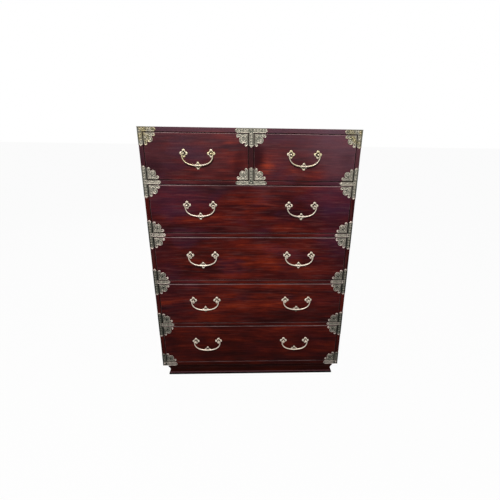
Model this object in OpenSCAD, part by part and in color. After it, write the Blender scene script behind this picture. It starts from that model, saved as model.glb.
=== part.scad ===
// Tall tansu-style chest: two small drawers over four wide ones, brass plates
// on every corner and joint, loose brass bail pulls, on a hollow-moulded plinth.
// Millimetres, +Z up, the drawer fronts face -Y, the floor is at Z = 0.

/* [Case] */
// Width of the case
case_w = 965; // [820:1:1150]
// Depth of the case, front plane to back
case_d = 483; // [420:1:560]
// Thickness of the top board
top_t = 19; // [16:0.5:24]
// Thickness of the side boards
side_t = 19; // [16:0.5:24]
// Thickness of the board between the two top drawers
divider_t = 19; // [16:0.5:24]
// Height of the rails between the drawers
rail_h = 17; // [14:0.5:22]
// Height of the rail under the lowest drawer
bottom_rail_h = 23; // [20:0.5:30]
// Depth of every rail, front to back
rail_d = 60; // [40:1:90]
// Thickness of the bottom board
bottom_t = 16; // [13:0.5:18]
// Thickness of the back panel
back_t = 6; // [4:0.5:9]
// Width of the rebate that the back panel sits in
rebate_w = 10; // [6:0.5:12]
// Depth of the housings in the sides that hold the rails
dado_d = 6; // [4:0.5:8]

/* [Frames between the drawers] */
// Width of the drawer runners
runner_w = 45; // [30:1:60]
// Thickness of the dust panels
dust_t = 4; // [3:0.5:6]
// Depth of the grooves that hold the dust panels
groove_d = 6; // [4:0.5:8]
// Length of a drawer stop, front to back
stop_l = 18; // [12:1:24]
// Width of a drawer stop
stop_w = 20; // [14:1:30]
// Height of a drawer stop
stop_h = 24; // [16:1:40]

/* [Drawers] */
// Height of the opening of the two top drawers
top_row_h = 200; // [175:1:240]
// Height of the opening of each wide drawer
wide_row_h = 224; // [195:1:260]
// Gap round a drawer front
front_gap = 3; // [2:0.1:4]
// Thickness of a drawer front
front_t = 21; // [19:0.5:26]
// Bevel round the edges of a drawer front
front_bevel = 1; // [0.6:0.1:2]
// Wood left in front of the dovetails
lap_t = 7; // [5:0.5:9]
// Thickness of the drawer sides and back
box_t = 12; // [10:0.5:15]
// Air above the drawer sides
box_air = 14; // [8:1:24]
// Air between the drawer back and the case back
rear_air = 24; // [20:1:30]
// Distance from the rear ends of the drawer sides to the drawer back
back_inset = 10; // [6:1:20]
// Depth of the housings for the drawer back
back_housing = 4; // [2:0.5:6]
// Thickness of the drawer bottom
panel_t = 6; // [4:0.5:8]
// Height of the drawer bottom above the lower edge of the sides
panel_rise = 10; // [7:0.5:16]
// Number of dovetails at each front corner
tail_count = 4; // [3:1:6]
// Clearance under the drawer sides
run_gap = 0.3; // [0.2:0.05:0.5]
// Clearance between a shut drawer and its stops
stop_gap = 0.3; // [0.2:0.05:0.5]

/* [Brass plates] */
// Thickness of the brass plates
brass_t = 1.2; // [0.8:0.1:2]
// Reach of the corner brackets along each board
corner_arm = 78; // [60:1:95]
// Half length of the upright strips at the rails
strip_half = 70; // [55:1:80]
// Reach of the tongues along the rails, from the case edge
tongue_reach = 80; // [65:1:95]
// Half length of the strips at the top of the centre divider
centre_half = 70; // [55:1:85]
// Reach of the centre stems, down from the case top and up from the rail
centre_stem = 59; // [45:1:66]
// Depth that the brass turns round onto the sides and the top
wrap_d = 19; // [10:1:30]
// Radius of the round finials on the strips
finial_r = 5.5; // [4:0.1:7]
// Size of a drawer corner plate, each way
plate_reach = 51.5; // [44:0.5:60]
// Radius of the middle lobe of a drawer corner plate
lobe_r = 14; // [11:0.5:16]
// Radius of the end lobes of a drawer corner plate
hook_r = 6.5; // [5:0.1:8]

/* [Pulls] */
// Distance of the pulls from the middle of the case
pull_x = 234; // [200:1:260]
// Height of the hinge pins above the middle of a top drawer's opening
top_pull_rise = 14.5; // [0:0.5:30]
// Height of the hinge pins above the middle of a wide drawer's opening
wide_pull_rise = 20.5; // [0:0.5:35]
// Half distance between the two posts
post_half = 59.5; // [50:0.5:70]
// Distance of the hinge pins in front of the drawer face
pin_out = 13; // [11:0.5:20]
// Radius of the hinge pins
pin_r = 1.7; // [1.3:0.05:2]
// Radial clearance of the hinge pins
pin_gap = 0.06; // [0.04:0.01:0.1]
// Radius of the round post heads
head_r = 4.4; // [4:0.1:5.5]
// Radius of the post necks
neck_r = 3.2; // [2.6:0.1:3.6]
// Radius of the threaded post shanks
shank_r = 2.4; // [2:0.1:2.6]
// Inside radius of a bail's elbows
elbow_inner_r = 0.5; // [0.3:0.1:3]
// Drop of a bail, from the pins to the middle of its bar
bail_drop = 49; // [42:0.5:56]
// Radius of a bail at its arms
bail_arm_r = 2.4; // [2.2:0.05:3]
// Radius of a bail at the middle
bail_mid_r = 3.2; // [2.6:0.05:4]
// Half diagonal of a rosette's diamond
rosette_half = 18.3; // [15:0.1:20]
// Distance of a rosette's lobes from its middle
rosette_lobe_x = 11.1; // [9:0.1:12.5]
// Radius of a rosette's lobes
rosette_lobe_r = 8.2; // [6.5:0.1:9]
// Thickness of a rosette
rosette_t = 1.2; // [0.8:0.1:1.6]
// Height of a rosette's rim
rosette_rim_h = 2.4; // [1.8:0.1:3]
// Width of a rosette's rim
rosette_rim_w = 2.4; // [1.6:0.1:3]
// Distance of the strike plate's middle below the hinge pins
strike_drop = 51.4; // [46:0.2:56]

/* [Plinth] */
// Height of the plinth
plinth_h = 76; // [64:1:100]
// Distance of the plinth behind the case faces
plinth_recess = 23; // [21:0.5:32]
// Thickness of the plinth boards
plinth_t = 24; // [20:0.5:30]
// Height of the middle of the plinth's hollow
hollow_z = 30; // [26:1:36]
// Radius of the plinth's hollow
hollow_r = 33; // [28:0.5:38]
// Depth of the plinth's hollow
hollow_depth = 7.5; // [5:0.5:9]
// Leg of the corner blocks behind the plinth
block_leg = 45; // [30:1:60]

/* [Hidden] */
$fn = 48;
fit_gap = 0.1;          // clearance of joints that are glued or fixed
cut = 1;                // overrun of a cutting shape past the face it opens
row_count = 4;          // wide drawers
dark_wood = "#4a1a16";
inner_wood = "#b98c5c";
brass = "#a39a78";
bright_brass = "#d9c58f";

case_h = top_t + top_row_h + row_count*(rail_h + wide_row_h) + bottom_rail_h;
case_top_z = plinth_h + case_h;
head_reach = max(head_r, bail_mid_r);
front_y = (pin_out + head_reach - case_d)/2;
back_y = front_y + case_d;
inner_back_y = back_y - back_t;
inner_half = case_w/2 - side_t;
top_open_w = inner_half - divider_t/2;
top_open_x = (inner_half + divider_t/2)/2;
drawer_l = case_d - back_t - rear_air;
pin_y = front_y - pin_out;
housing_x = inner_half + dado_d - fit_gap;

// Name, row, middle, opening width and pull places of each drawer
drawers = [
    ["upper_left_drawer", 0, -top_open_x, top_open_w, [-pull_x]],
    ["upper_right_drawer", 0, top_open_x, top_open_w, [pull_x]],
    ["second_drawer", 1, 0, 2*inner_half, [-pull_x, pull_x]],
    ["third_drawer", 2, 0, 2*inner_half, [-pull_x, pull_x]],
    ["fourth_drawer", 3, 0, 2*inner_half, [-pull_x, pull_x]],
    ["bottom_drawer", 4, 0, 2*inner_half, [-pull_x, pull_x]]
];
drawer_parts = ["front", "box", "bottom", "corner_plates", "pull_mounts"];
bails = [
    ["upper_left_bail", 0, -pull_x],
    ["upper_right_bail", 0, pull_x],
    ["second_left_bail", 1, -pull_x],
    ["second_right_bail", 1, pull_x],
    ["third_left_bail", 2, -pull_x],
    ["third_right_bail", 2, pull_x],
    ["fourth_left_bail", 3, -pull_x],
    ["fourth_right_bail", 3, pull_x],
    ["bottom_left_bail", 4, -pull_x],
    ["bottom_right_bail", 4, pull_x]
];

// Height of the opening of a row, and the height of its floor
function row_h(row) = row == 0 ? top_row_h : wide_row_h;
function floor_z(row) = case_top_z - top_t - top_row_h - row*(rail_h + wide_row_h);
function pin_z(row) = floor_z(row) + row_h(row)/2 + (row == 0 ? top_pull_rise : wide_pull_rise);

// A box between two corners
module block(low, high) {
    translate(low) cube(high - low);
}

// An outline in X and Z, made a solid that runs back from y
module along_y(y, length) {
    translate([0, y + length, 0]) rotate([90, 0, 0]) linear_extrude(length) children();
}

// An outline in Y and Z, made a solid that runs along X from x
module along_x(x, length) {
    translate([x, 0, 0]) rotate([90, 0, 90]) linear_extrude(length) children();
}

// Both sides of the case
module both_sides() {
    children();
    mirror([1, 0, 0]) children();
}

// Case boards

module case_top() {
    inner_z = case_top_z - top_t;
    color(dark_wood) difference() {
        along_y(front_y, case_d) polygon([
            [-case_w/2, case_top_z], [case_w/2, case_top_z],
            [inner_half, inner_z], [-inner_half, inner_z]
        ]);
        back_rebate();
        top_housings();
    }
}

// Housings for the brass that is let in flush over the front edge of the top
module top_housings() {
    corner_x = case_w/2 - corner_flat;
    for (span = [[-case_w, -corner_x], [-centre_flat, centre_flat], [corner_x, case_w]]) {
        block([span[0] - fit_gap, front_y - cut, case_top_z - brass_t],
              [span[1] + fit_gap, front_y + wrap_d + fit_gap, case_top_z + cut]);
    }
}
corner_flat = corner_arm - finial_r;    // straight part of the corner brackets
centre_flat = centre_half - finial_r;   // straight part of the centre brackets

module side_right() {
    inner_z = case_top_z - top_t;
    color(dark_wood) difference() {
        along_y(front_y, case_d) polygon([
            [inner_half, plinth_h], [case_w/2, plinth_h],
            [case_w/2, case_top_z], [inner_half, inner_z]
        ]);
        back_rebate();
        top_housings();
        for (row = [0:row_count - 1]) {
            block([inner_half - cut, front_y - cut, floor_z(row) - rail_h - fit_gap],
                  [inner_half + dado_d, inner_back_y, floor_z(row) + fit_gap]);
        }
    }
}

module side_left() {
    mirror([1, 0, 0]) side_right();
}

module back_rebate() {
    reach = inner_half + rebate_w;
    block([-reach, inner_back_y, plinth_h - cut],
          [reach, back_y + cut, case_top_z - top_t + rebate_w]);
}

module back_panel() {
    reach = inner_half + rebate_w - fit_gap;
    color(inner_wood) block([-reach, inner_back_y, plinth_h],
                            [reach, back_y, case_top_z - top_t + rebate_w - fit_gap]);
}

module case_bottom() {
    color(inner_wood) block([-inner_half, front_y + rail_d, plinth_h],
                            [inner_half, inner_back_y, plinth_h + bottom_t]);
}

module bottom_rail() {
    color(dark_wood) block([-inner_half, front_y, plinth_h],
                           [inner_half, front_y + rail_d, plinth_h + bottom_rail_h]);
}

module centre_divider() {
    color(dark_wood) block([-divider_t/2, front_y, floor_z(0)],
                           [divider_t/2, inner_back_y, case_top_z - top_t]);
}

// Frames between the drawers: rail, runners, back rail and dust panels

module rail(row) {
    color(dark_wood) difference() {
        block([-housing_x, front_y, floor_z(row) - rail_h],
              [housing_x, front_y + rail_d, floor_z(row)]);
        dust_grooves(row);
    }
}

module dust_grooves(row) {
    mid_z = floor_z(row) - rail_h/2;
    for (bay = dust_bays(row)) {
        block([bay[0] - groove_d, front_y + rail_d - groove_d, mid_z - dust_t/2 - fit_gap],
              [bay[1] + groove_d, inner_back_y - runner_w + groove_d, mid_z + dust_t/2 + fit_gap]);
    }
}

// Left and right limits of the openings in a frame
function dust_bays(row) =
    let (outer = inner_half - runner_w, middle = divider_t/2 + runner_w)
    row == 0 ? [[-outer, -middle], [middle, outer]] : [[-outer, outer]];

module web_frames() {
    color(inner_wood) {
        for (row = [0:row_count - 1]) web_frame(row);
        both_sides() block([inner_half - runner_w, front_y + rail_d, plinth_h + bottom_t],
                           [inner_half, inner_back_y, plinth_h + bottom_rail_h]);
    }
}

module web_frame(row) {
    low = floor_z(row) - rail_h;
    high = floor_z(row);
    run_end = inner_back_y - runner_w;
    difference() {
        union() {
            both_sides() block([inner_half - runner_w, front_y + rail_d, low], [housing_x, run_end, high]);
            if (row == 0) {
                block([-divider_t/2 - runner_w, front_y + rail_d, low],
                      [divider_t/2 + runner_w, run_end, high]);
            }
        }
        dust_grooves(row);
    }
    difference() {
        block([-housing_x, run_end + fit_gap, low], [housing_x, inner_back_y, high]);
        dust_grooves(row);
    }
}

module dust_panels() {
    color(inner_wood) for (row = [0:row_count - 1]) {
        mid_z = floor_z(row) - rail_h/2;
        tongue = groove_d - fit_gap;
        for (bay = dust_bays(row)) {
            block([bay[0] - tongue, front_y + rail_d - tongue, mid_z - dust_t/2],
                  [bay[1] + tongue, inner_back_y - runner_w + tongue, mid_z + dust_t/2]);
        }
    }
}

module drawer_stops() {
    stop_y = front_y + drawer_l + stop_gap;
    color(inner_wood) for (d = drawers) {
        for (side = [-1, 1]) {
            x = d[2] + side*(d[3]/2 - front_gap - stop_w/2);
            z = floor_z(d[1]);
            block([x - stop_w/2, stop_y, z], [x + stop_w/2, stop_y + stop_l, z + stop_h]);
        }
    }
}

// Drawers

function box_low(d) = floor_z(d[1]) + run_gap;
function box_high(d) = floor_z(d[1]) + row_h(d[1]) - box_air;
function front_half(d) = d[3]/2 - front_gap;

module drawer_front(d) {
    low = floor_z(d[1]) + front_gap;
    high = floor_z(d[1]) + row_h(d[1]) - front_gap;
    half = front_half(d);
    rear_y = front_y + front_t;
    color(dark_wood) difference() {
        intersection() {
            along_x(d[2] - half, 2*half) polygon([
                [rear_y, low], [front_y + front_bevel, low], [front_y, low + front_bevel],
                [front_y, high - front_bevel], [front_y + front_bevel, high], [rear_y, high]
            ]);
            translate([d[2], 0, low]) linear_extrude(high - low) polygon([
                [-half, rear_y], [-half, front_y + front_bevel], [-half + front_bevel, front_y],
                [half - front_bevel, front_y], [half, front_y + front_bevel], [half, rear_y]
            ]);
        }
        for (side = [-1, 1]) translate([d[2] + side*(half - box_t/2), 0, 0]) {
            along_x(-box_t/2 - fit_gap - (side > 0 ? 0 : cut), box_t + fit_gap + cut) tails(d, fit_gap);
        }
        block([d[2] - half + box_t - groove_d, rear_y - groove_d, box_low(d) + panel_rise - fit_gap],
              [d[2] + half - box_t + groove_d, rear_y + cut, box_low(d) + panel_rise + panel_t + fit_gap]);
        for (x = d[4]) post_places(x, d[1]) translate([0, 0, -front_t - cut]) {
            cylinder(r = shank_r + fit_gap, h = front_t + 2*cut);
        }
        for (x = d[4]) strike_place(x, d[1]) translate([0, 0, -strike_pin_l - fit_gap]) {
            cylinder(r = strike_pin_r + fit_gap, h = strike_pin_l + fit_gap + cut);
        }
    }
}

// Dovetails of a drawer side in Y and Z, narrow at the back of the drawer front
module tails(d, grow) {
    low = max(box_low(d), floor_z(d[1]) + front_gap) + tail_edge;
    high = box_high(d) - tail_edge;
    pitch = (high - low)/tail_count;
    end_y = front_y + lap_t - grow;
    rear_y = front_y + front_t + cut;
    slant = tail_slant*(front_t - lap_t);
    for (i = [0:tail_count - 1]) {
        mid = low + (i + 0.5)*pitch;
        wide = pitch*tail_share + grow;
        polygon([[end_y, mid - wide], [end_y, mid + wide],
                 [rear_y, mid + wide - slant], [rear_y, mid - wide + slant]]);
    }
}
tail_edge = 1;          // wood kept above and below the row of dovetails
tail_share = 0.38;      // half width of a dovetail, as a share of the pitch
tail_slant = 0.25;      // slope of a dovetail's cheeks

module drawer_box(d) {
    half = front_half(d);
    low = box_low(d);
    high = box_high(d);
    start_y = front_y + front_t;
    end_y = front_y + drawer_l;
    back_start = end_y - back_inset - box_t;
    panel_top = low + panel_rise + panel_t + fit_gap;
    color(inner_wood) {
        for (side = [-1, 1]) translate([d[2], 0, 0]) mirror([side < 0 ? 1 : 0, 0, 0]) {
            difference() {
                union() {
                    block([half - box_t, start_y, low], [half, end_y, high]);
                    along_x(half - box_t, box_t) tails(d, 0);
                }
                block([half - box_t - cut, start_y - groove_d, low + panel_rise - fit_gap],
                      [half - box_t + groove_d, end_y + cut, panel_top]);
                block([half - box_t - cut, back_start - fit_gap, panel_top - cut],
                      [half - box_t + back_housing, back_start + box_t + fit_gap, high + cut]);
            }
        }
        translate([d[2], 0, 0]) {
            reach = half - box_t + back_housing - fit_gap;
            block([-reach, back_start, panel_top], [reach, back_start + box_t, high]);
        }
    }
}

module drawer_bottom(d) {
    reach = front_half(d) - box_t + groove_d - fit_gap;
    z = box_low(d) + panel_rise;
    color(inner_wood) block([d[2] - reach, front_y + front_t - groove_d + fit_gap, z],
                            [d[2] + reach, front_y + drawer_l - back_inset, z + panel_t]);
}

// Brass plates, drawn as outlines in X and Z

// Plate for one drawer corner, with the corner at the origin
module quarter_plate() {
    web = plate_reach - 2*hook_r - notch_w;
    web_h = 2*hook_r + notch_h;
    lobe_c = web - lobe_in*lobe_r;
    for (flip = [0, 1]) mirror([flip, -flip]) {
        square([web, web_h]);
        square([plate_reach - hook_r, 2*hook_r]);
        translate([plate_reach - hook_r, hook_r + hook_lift]) circle(r = hook_r);
    }
    translate([lobe_c, lobe_c]) circle(r = lobe_r);
}

notch_w = 2;            // width of the notches beside the middle lobe
notch_h = 7;            // height of their inner walls above the arms
hook_lift = 2.5;        // rise of the end lobes over the middle of the arms
lobe_in = 0.8;          // how far the middle lobe sits in from the web's edge, in its radii
tongue_round = 0.42;    // radius of a tongue's end, as a share of its width

module corner_plates(d) {
    inset = front_bevel;
    half_x = front_half(d) - inset;
    low = floor_z(d[1]) + front_gap + inset;
    high = floor_z(d[1]) + row_h(d[1]) - front_gap - inset;
    color(brass) along_y(front_y - brass_t, brass_t) {
        for (side = [0, 1], up = [0, 1]) {
            translate([d[2] + (side == 0 ? -half_x : half_x), up == 0 ? low : high]) {
                mirror([side, 0]) mirror([0, up]) quarter_plate();
            }
        }
    }
}

// Flat strip from the origin along +X, with a round finial
module strip(length, width) {
    square([length - finial_r, width]);
    translate([length - finial_r, width/2]) circle(r = finial_r);
}

// Tongue from the origin along +X, with a broad round end
module tongue(length, width) {
    end_r = tongue_round*width;
    square([length - end_r, width]);
    translate([length - end_r, width/2]) circle(r = end_r);
}

// Bracket at the top right corner of the case: face, side wrap and flush top wrap
module top_corner_bracket() {
    along_y(front_y - brass_t, brass_t) translate([case_w/2 + brass_t, case_top_z]) {
        mirror([1, 0]) translate([0, -top_t]) strip(corner_arm + brass_t, top_t);
        rotate(-90) translate([0, -side_t - brass_t]) strip(corner_arm, side_t + brass_t);
    }
    block([case_w/2, front_y - brass_t, case_top_z - corner_flat],
          [case_w/2 + brass_t, front_y + wrap_d, case_top_z]);
    block([case_w/2 - corner_flat, front_y - brass_t, case_top_z - brass_t],
          [case_w/2 + brass_t, front_y + wrap_d, case_top_z]);
}

// Bracket at the bottom right corner of the case: face and side wrap
module bottom_corner_bracket() {
    along_y(front_y - brass_t, brass_t) translate([case_w/2 + brass_t, plinth_h]) {
        mirror([1, 0]) tongue(corner_arm, bottom_rail_h);
        rotate(90) strip(corner_arm, side_t + brass_t);
    }
    block([case_w/2, front_y - brass_t, plinth_h],
          [case_w/2 + brass_t, front_y + wrap_d, plinth_h + corner_flat]);
}

// Bracket where a rail meets the right side: upright strip, tongue and side wrap
module side_bracket(row) {
    mid_z = floor_z(row) - rail_h/2;
    flat = strip_half - finial_r;
    along_y(front_y - brass_t, brass_t) translate([case_w/2 + brass_t, mid_z]) {
        rotate(90) strip(strip_half, side_t + brass_t);
        rotate(-90) translate([0, -side_t - brass_t]) strip(strip_half, side_t + brass_t);
        mirror([1, 0]) translate([0, -rail_h/2]) tongue(tongue_reach + brass_t, rail_h);
    }
    block([case_w/2, front_y - brass_t, mid_z - flat],
          [case_w/2 + brass_t, front_y + wrap_d, mid_z + flat]);
}

module corner_brackets() {
    color(brass) both_sides() {
        top_corner_bracket();
        bottom_corner_bracket();
    }
}

module rail_brackets() {
    color(brass) {
        for (row = [0:row_count - 1]) both_sides() side_bracket(row);
        top_centre_bracket();
        lower_centre_bracket();
    }
}

// Bracket at the top of the centre divider, turned flush over the front edge of the top
module top_centre_bracket() {
    along_y(front_y - brass_t, brass_t) translate([0, case_top_z - top_t]) {
        strip(centre_half, top_t);
        mirror([1, 0]) strip(centre_half, top_t);
        rotate(-90) translate([0, -divider_t/2]) strip(centre_stem, divider_t);
    }
    block([-centre_flat, front_y - brass_t, case_top_z - brass_t],
          [centre_flat, front_y + wrap_d, case_top_z]);
}

// Bracket where the centre divider stands on the first rail
module lower_centre_bracket() {
    along_y(front_y - brass_t, brass_t) translate([0, floor_z(0)]) {
        translate([0, -rail_h]) tongue(centre_half, rail_h);
        mirror([1, 0]) translate([0, -rail_h]) tongue(centre_half, rail_h);
        rotate(90) translate([0, -divider_t/2]) strip(centre_stem, divider_t);
    }
}

// Pulls

// Stands children on the drawer face, with their +Z pointing out of it
module on_face(x, z) {
    translate([x, front_y, z]) rotate([90, 0, 0]) children();
}

module post_places(x, row) {
    for (side = [-1, 1]) on_face(x + side*post_half, pin_z(row)) children();
}

module strike_place(x, row) {
    on_face(x, pin_z(row) - strike_drop) children();
}
strike_pin_r = 1.5;     // pin that holds the strike plate
strike_pin_l = 10;      // its length in the wood
nut_r = 5.5;
nut_h = 4;
thread_end = 3;         // shank left beyond the nut
strike_boss_r = 4;

// Outline of a rosette, drawn in by a margin
module rosette_outline(margin) {
    half = rosette_half - margin*sqrt(2);
    polygon([[half, 0], [0, half], [-half, 0], [0, -half]]);
    for (a = [0:90:270]) rotate(a) translate([rosette_lobe_x, 0]) circle(r = rosette_lobe_r - margin);
}

module rosette(hole_r) {
    difference() {
        linear_extrude(rosette_rim_h) rosette_outline(0);
        translate([0, 0, rosette_t]) linear_extrude(rosette_rim_h) rosette_outline(rosette_rim_w);
        translate([0, 0, -cut]) cylinder(r = hole_r, h = rosette_rim_h + 2*cut);
    }
}

// Post with a round head, bored across for the hinge pins
module post() {
    difference() {
        union() {
            translate([0, 0, -front_t - nut_h - thread_end]) {
                cylinder(r = shank_r, h = front_t + nut_h + thread_end + rosette_t);
            }
            translate([0, 0, rosette_t]) cylinder(r = neck_r, h = pin_out - rosette_t);
            translate([0, 0, pin_out]) sphere(r = head_r);
        }
        translate([-head_r - cut, 0, pin_out]) rotate([0, 90, 0]) {
            cylinder(r = pin_r + pin_gap, h = 2*(head_r + cut));
        }
    }
}

module post_nut() {
    translate([0, 0, -front_t - nut_h]) difference() {
        cylinder(r = nut_r, h = nut_h, $fn = 6);
        translate([0, 0, -cut]) cylinder(r = shank_r + fit_gap, h = nut_h + 2*cut);
    }
}

module strike_pin() {
    translate([0, 0, -strike_pin_l]) cylinder(r = strike_pin_r, h = strike_pin_l + rosette_t + fit_gap);
    translate([0, 0, rosette_t]) cylinder(r = strike_boss_r, h = rosette_rim_h - rosette_t);
}

module pull_mounts(d) {
    color(bright_brass) for (x = d[4]) {
        post_places(x, d[1]) {
            rosette(shank_r + fit_gap);
            post();
            post_nut();
        }
        strike_place(x, d[1]) {
            rosette(strike_pin_r + fit_gap);
            strike_pin();
        }
    }
}

// Bail: a bar bent in a flat bow in X and Z, with its ends turned in as pins
head_clear = 0.5;                           // air between a post head and the bar
bail_start = post_half + head_r + head_clear;
elbow_r = bail_arm_r + elbow_inner_r;
bail_half = bail_start + elbow_r;
bail_bow = 2.4;                             // exponent of the bow's curve, 2 is an ellipse
pin_shoulder = 0.6;                         // step from the pins up to the bar
pin_short = 1.4;                            // distance that the pins stop short of the heads' inner side
bail_end_r = pin_r + pin_shoulder;
pin_in = head_r - pin_short;
elbow_steps = 4;
bow_steps = 28;
bail_sides = 10;

// Middle line of the bail's right half and left half, from pin to pin
function elbow_point(a) = [bail_start + elbow_r*sin(a), -elbow_r*(1 - cos(a))];
function bow_point(a) = [
    bail_half*sign(cos(a))*pow(abs(cos(a)), 2/bail_bow),
    -elbow_r - (bail_drop - elbow_r)*pow(sin(a), 2/bail_bow)
];
bail_line = concat(
    [for (i = [0:elbow_steps - 1]) elbow_point(90*i/elbow_steps)],
    [for (i = [0:bow_steps]) bow_point(180*i/bow_steps)],
    [for (i = [elbow_steps - 1:-1:0]) let (p = elbow_point(90*i/elbow_steps)) [-p[0], p[1]]]
);
bail_last = len(bail_line) - 1;

// Radius of the bar at a point of the line: slim at the pins, full in the middle
function bar_r(i) =
    let (p = bail_line[i], drop = min(1, -p[1]/bail_drop), arm = min(1, drop*8))
    bail_end_r + (bail_arm_r - bail_end_r)*arm + (bail_mid_r - bail_arm_r)*pow(drop, 3);

// Direction across the bar, in the plane of the bow
function across(i) =
    i == 0 || i == bail_last ? [0, 1] :
    let (t = bail_line[i + 1] - bail_line[i - 1]) [-t[1], t[0]]/norm(t);

function ring(i) = [
    for (k = [0:bail_sides - 1])
        let (a = 360*k/bail_sides, c = bail_line[i] + across(i)*bar_r(i)*cos(a))
        [c[0], bar_r(i)*sin(a), c[1]]
];

module bail(b) {
    ring_points = [for (i = [0:bail_last]) each ring(i)];
    walls = [
        for (i = [0:bail_last - 1], k = [0:bail_sides - 1])
            let (a = i*bail_sides + k, c = i*bail_sides + (k + 1)%bail_sides)
            each [[a, c, a + bail_sides], [c, c + bail_sides, a + bail_sides]]
    ];
    first = [for (k = [bail_sides - 1:-1:0]) k];
    last = [for (k = [0:bail_sides - 1]) bail_last*bail_sides + k];
    color(bright_brass) translate([b[2], pin_y, pin_z(b[1])]) {
        polyhedron(ring_points, concat([first], walls, [last]));
        both_sides() translate([post_half - pin_in, 0, 0]) rotate([0, 90, 0]) {
            cylinder(r = pin_r, h = bail_start - post_half + pin_in + fit_gap);
        }
    }
}

// Plinth

// Outline of a plinth board: depth behind the case face, and height
module plinth_outline() {
    difference() {
        translate([plinth_recess, 0]) square([plinth_t, plinth_h]);
        translate([plinth_recess + hollow_depth - hollow_r, hollow_z]) circle(r = hollow_r);
    }
}
plinth_half = case_w/2 - plinth_recess;
plinth_y = front_y + plinth_recess;

module plinth_front() {
    color(dark_wood) intersection() {
        along_x(-plinth_half, 2*plinth_half) translate([front_y, 0]) plinth_outline();
        linear_extrude(plinth_h) polygon([
            [-plinth_half, plinth_y], [plinth_half, plinth_y],
            [plinth_half - plinth_t, plinth_y + plinth_t], [-plinth_half + plinth_t, plinth_y + plinth_t]
        ]);
    }
}

module plinth_sides() {
    color(dark_wood) both_sides() intersection() {
        along_y(plinth_y, back_y - plinth_y) translate([case_w/2, 0]) mirror([1, 0]) plinth_outline();
        linear_extrude(plinth_h) polygon([
            [plinth_half, plinth_y], [plinth_half, back_y],
            [plinth_half - plinth_t, back_y], [plinth_half - plinth_t, plinth_y + plinth_t]
        ]);
    }
}

module plinth_back() {
    reach = plinth_half - plinth_t;
    color(inner_wood) block([-reach, back_y - plinth_t, 0], [reach, back_y, plinth_h]);
}

module glue_blocks() {
    x = plinth_half - plinth_t;
    color(inner_wood) both_sides() {
        for (place = [[plinth_y + plinth_t, 1], [back_y - plinth_t, -1]]) {
            translate([x, place[0], plinth_foot_gap]) linear_extrude(plinth_h - plinth_foot_gap) {
                polygon([[0, 0], [-block_leg, 0], [0, place[1]*block_leg]]);
            }
        }
    }
}
plinth_foot_gap = 12;   // height of the corner blocks above the floor

case_top();
side_left();
side_right();
case_bottom();
back_panel();
for (row = [0:row_count - 1]) {
    rail(row);
}
bottom_rail();
centre_divider();
web_frames();
dust_panels();
drawer_stops();
plinth_front();
plinth_sides();
plinth_back();
glue_blocks();
corner_brackets();
rail_brackets();
for (d = drawers) {
    drawer_front(d);
    drawer_box(d);
    drawer_bottom(d);
    corner_plates(d);
    pull_mounts(d);
}
for (b = bails) {
    bail(b);
}
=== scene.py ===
import math

import bmesh
import bpy
import numpy as np
from mathutils import Matrix, Vector


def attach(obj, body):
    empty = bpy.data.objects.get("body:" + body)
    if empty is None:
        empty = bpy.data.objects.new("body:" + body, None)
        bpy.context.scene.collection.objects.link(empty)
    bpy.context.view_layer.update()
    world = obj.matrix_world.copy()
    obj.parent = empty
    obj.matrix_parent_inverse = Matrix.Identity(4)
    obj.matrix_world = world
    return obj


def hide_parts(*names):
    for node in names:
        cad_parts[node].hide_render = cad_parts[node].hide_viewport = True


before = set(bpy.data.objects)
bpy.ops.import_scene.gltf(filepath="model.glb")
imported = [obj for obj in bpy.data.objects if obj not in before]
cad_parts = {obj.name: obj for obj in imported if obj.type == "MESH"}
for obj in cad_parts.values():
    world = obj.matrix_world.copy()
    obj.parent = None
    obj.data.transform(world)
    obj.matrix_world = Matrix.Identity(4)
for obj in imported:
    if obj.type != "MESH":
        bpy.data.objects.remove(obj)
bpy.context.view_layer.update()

mm = 0.001

# Places and sizes that the pieces share, as the construction has them, in millimetres
case = {
    "width": 965, "frontY": -232.8, "topZ": 1282, "footZ": 76,
    "board": 19, "rail": 17, "bottomRail": 23,
    "rowFloors": [1063, 822, 581, 340, 99], "rowHeights": [200, 224, 224, 224, 224],
    "openingHalf": 463.5, "dividerHalf": 9.5, "frontGap": 3,
}
pull = {"x": 234, "topRise": 14.5, "wideRise": 20.5, "postHalf": 59.5, "pinOut": 13,
        "drop": 49, "strikeDrop": 51.4}
halfW = case["width"] / 2
frontY = case["frontY"]

# Each drawer's row, its opening's left and right side, and its bails with their places
opening, divider = case["openingHalf"], case["dividerHalf"]
drawers = {
    "upper_left_drawer": (0, -opening, -divider, [("upper_left_bail", -pull["x"])]),
    "upper_right_drawer": (0, divider, opening, [("upper_right_bail", pull["x"])]),
}
for row, name in enumerate(("second", "third", "fourth", "bottom"), 1):
    bails = [(name + "_left_bail", -pull["x"]), (name + "_right_bail", pull["x"])]
    drawers[name + "_drawer"] = (row, -opening, opening, bails)


def pinZ(row):
    rise = pull["topRise"] if row == 0 else pull["wideRise"]
    return case["rowFloors"][row] + case["rowHeights"][row] / 2 + rise


def linked(name, data):
    item = bpy.data.objects.new(name, data)
    bpy.context.scene.collection.objects.link(item)
    return item


def newMesh(name, points, faces=()):
    mesh = bpy.data.meshes.new(name)
    mesh.from_pydata(points, [], faces)
    return mesh


# Camera, lights, floor
view = {"place": (-0.01696, -1.94785, 1.282), "yaw": -2.666, "pitch": -23.442, "roll": -0.894,
        "lens": 26.59, "sensor": 36.0, "shiftX": -0.0271, "shiftY": 0.0766}

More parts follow.
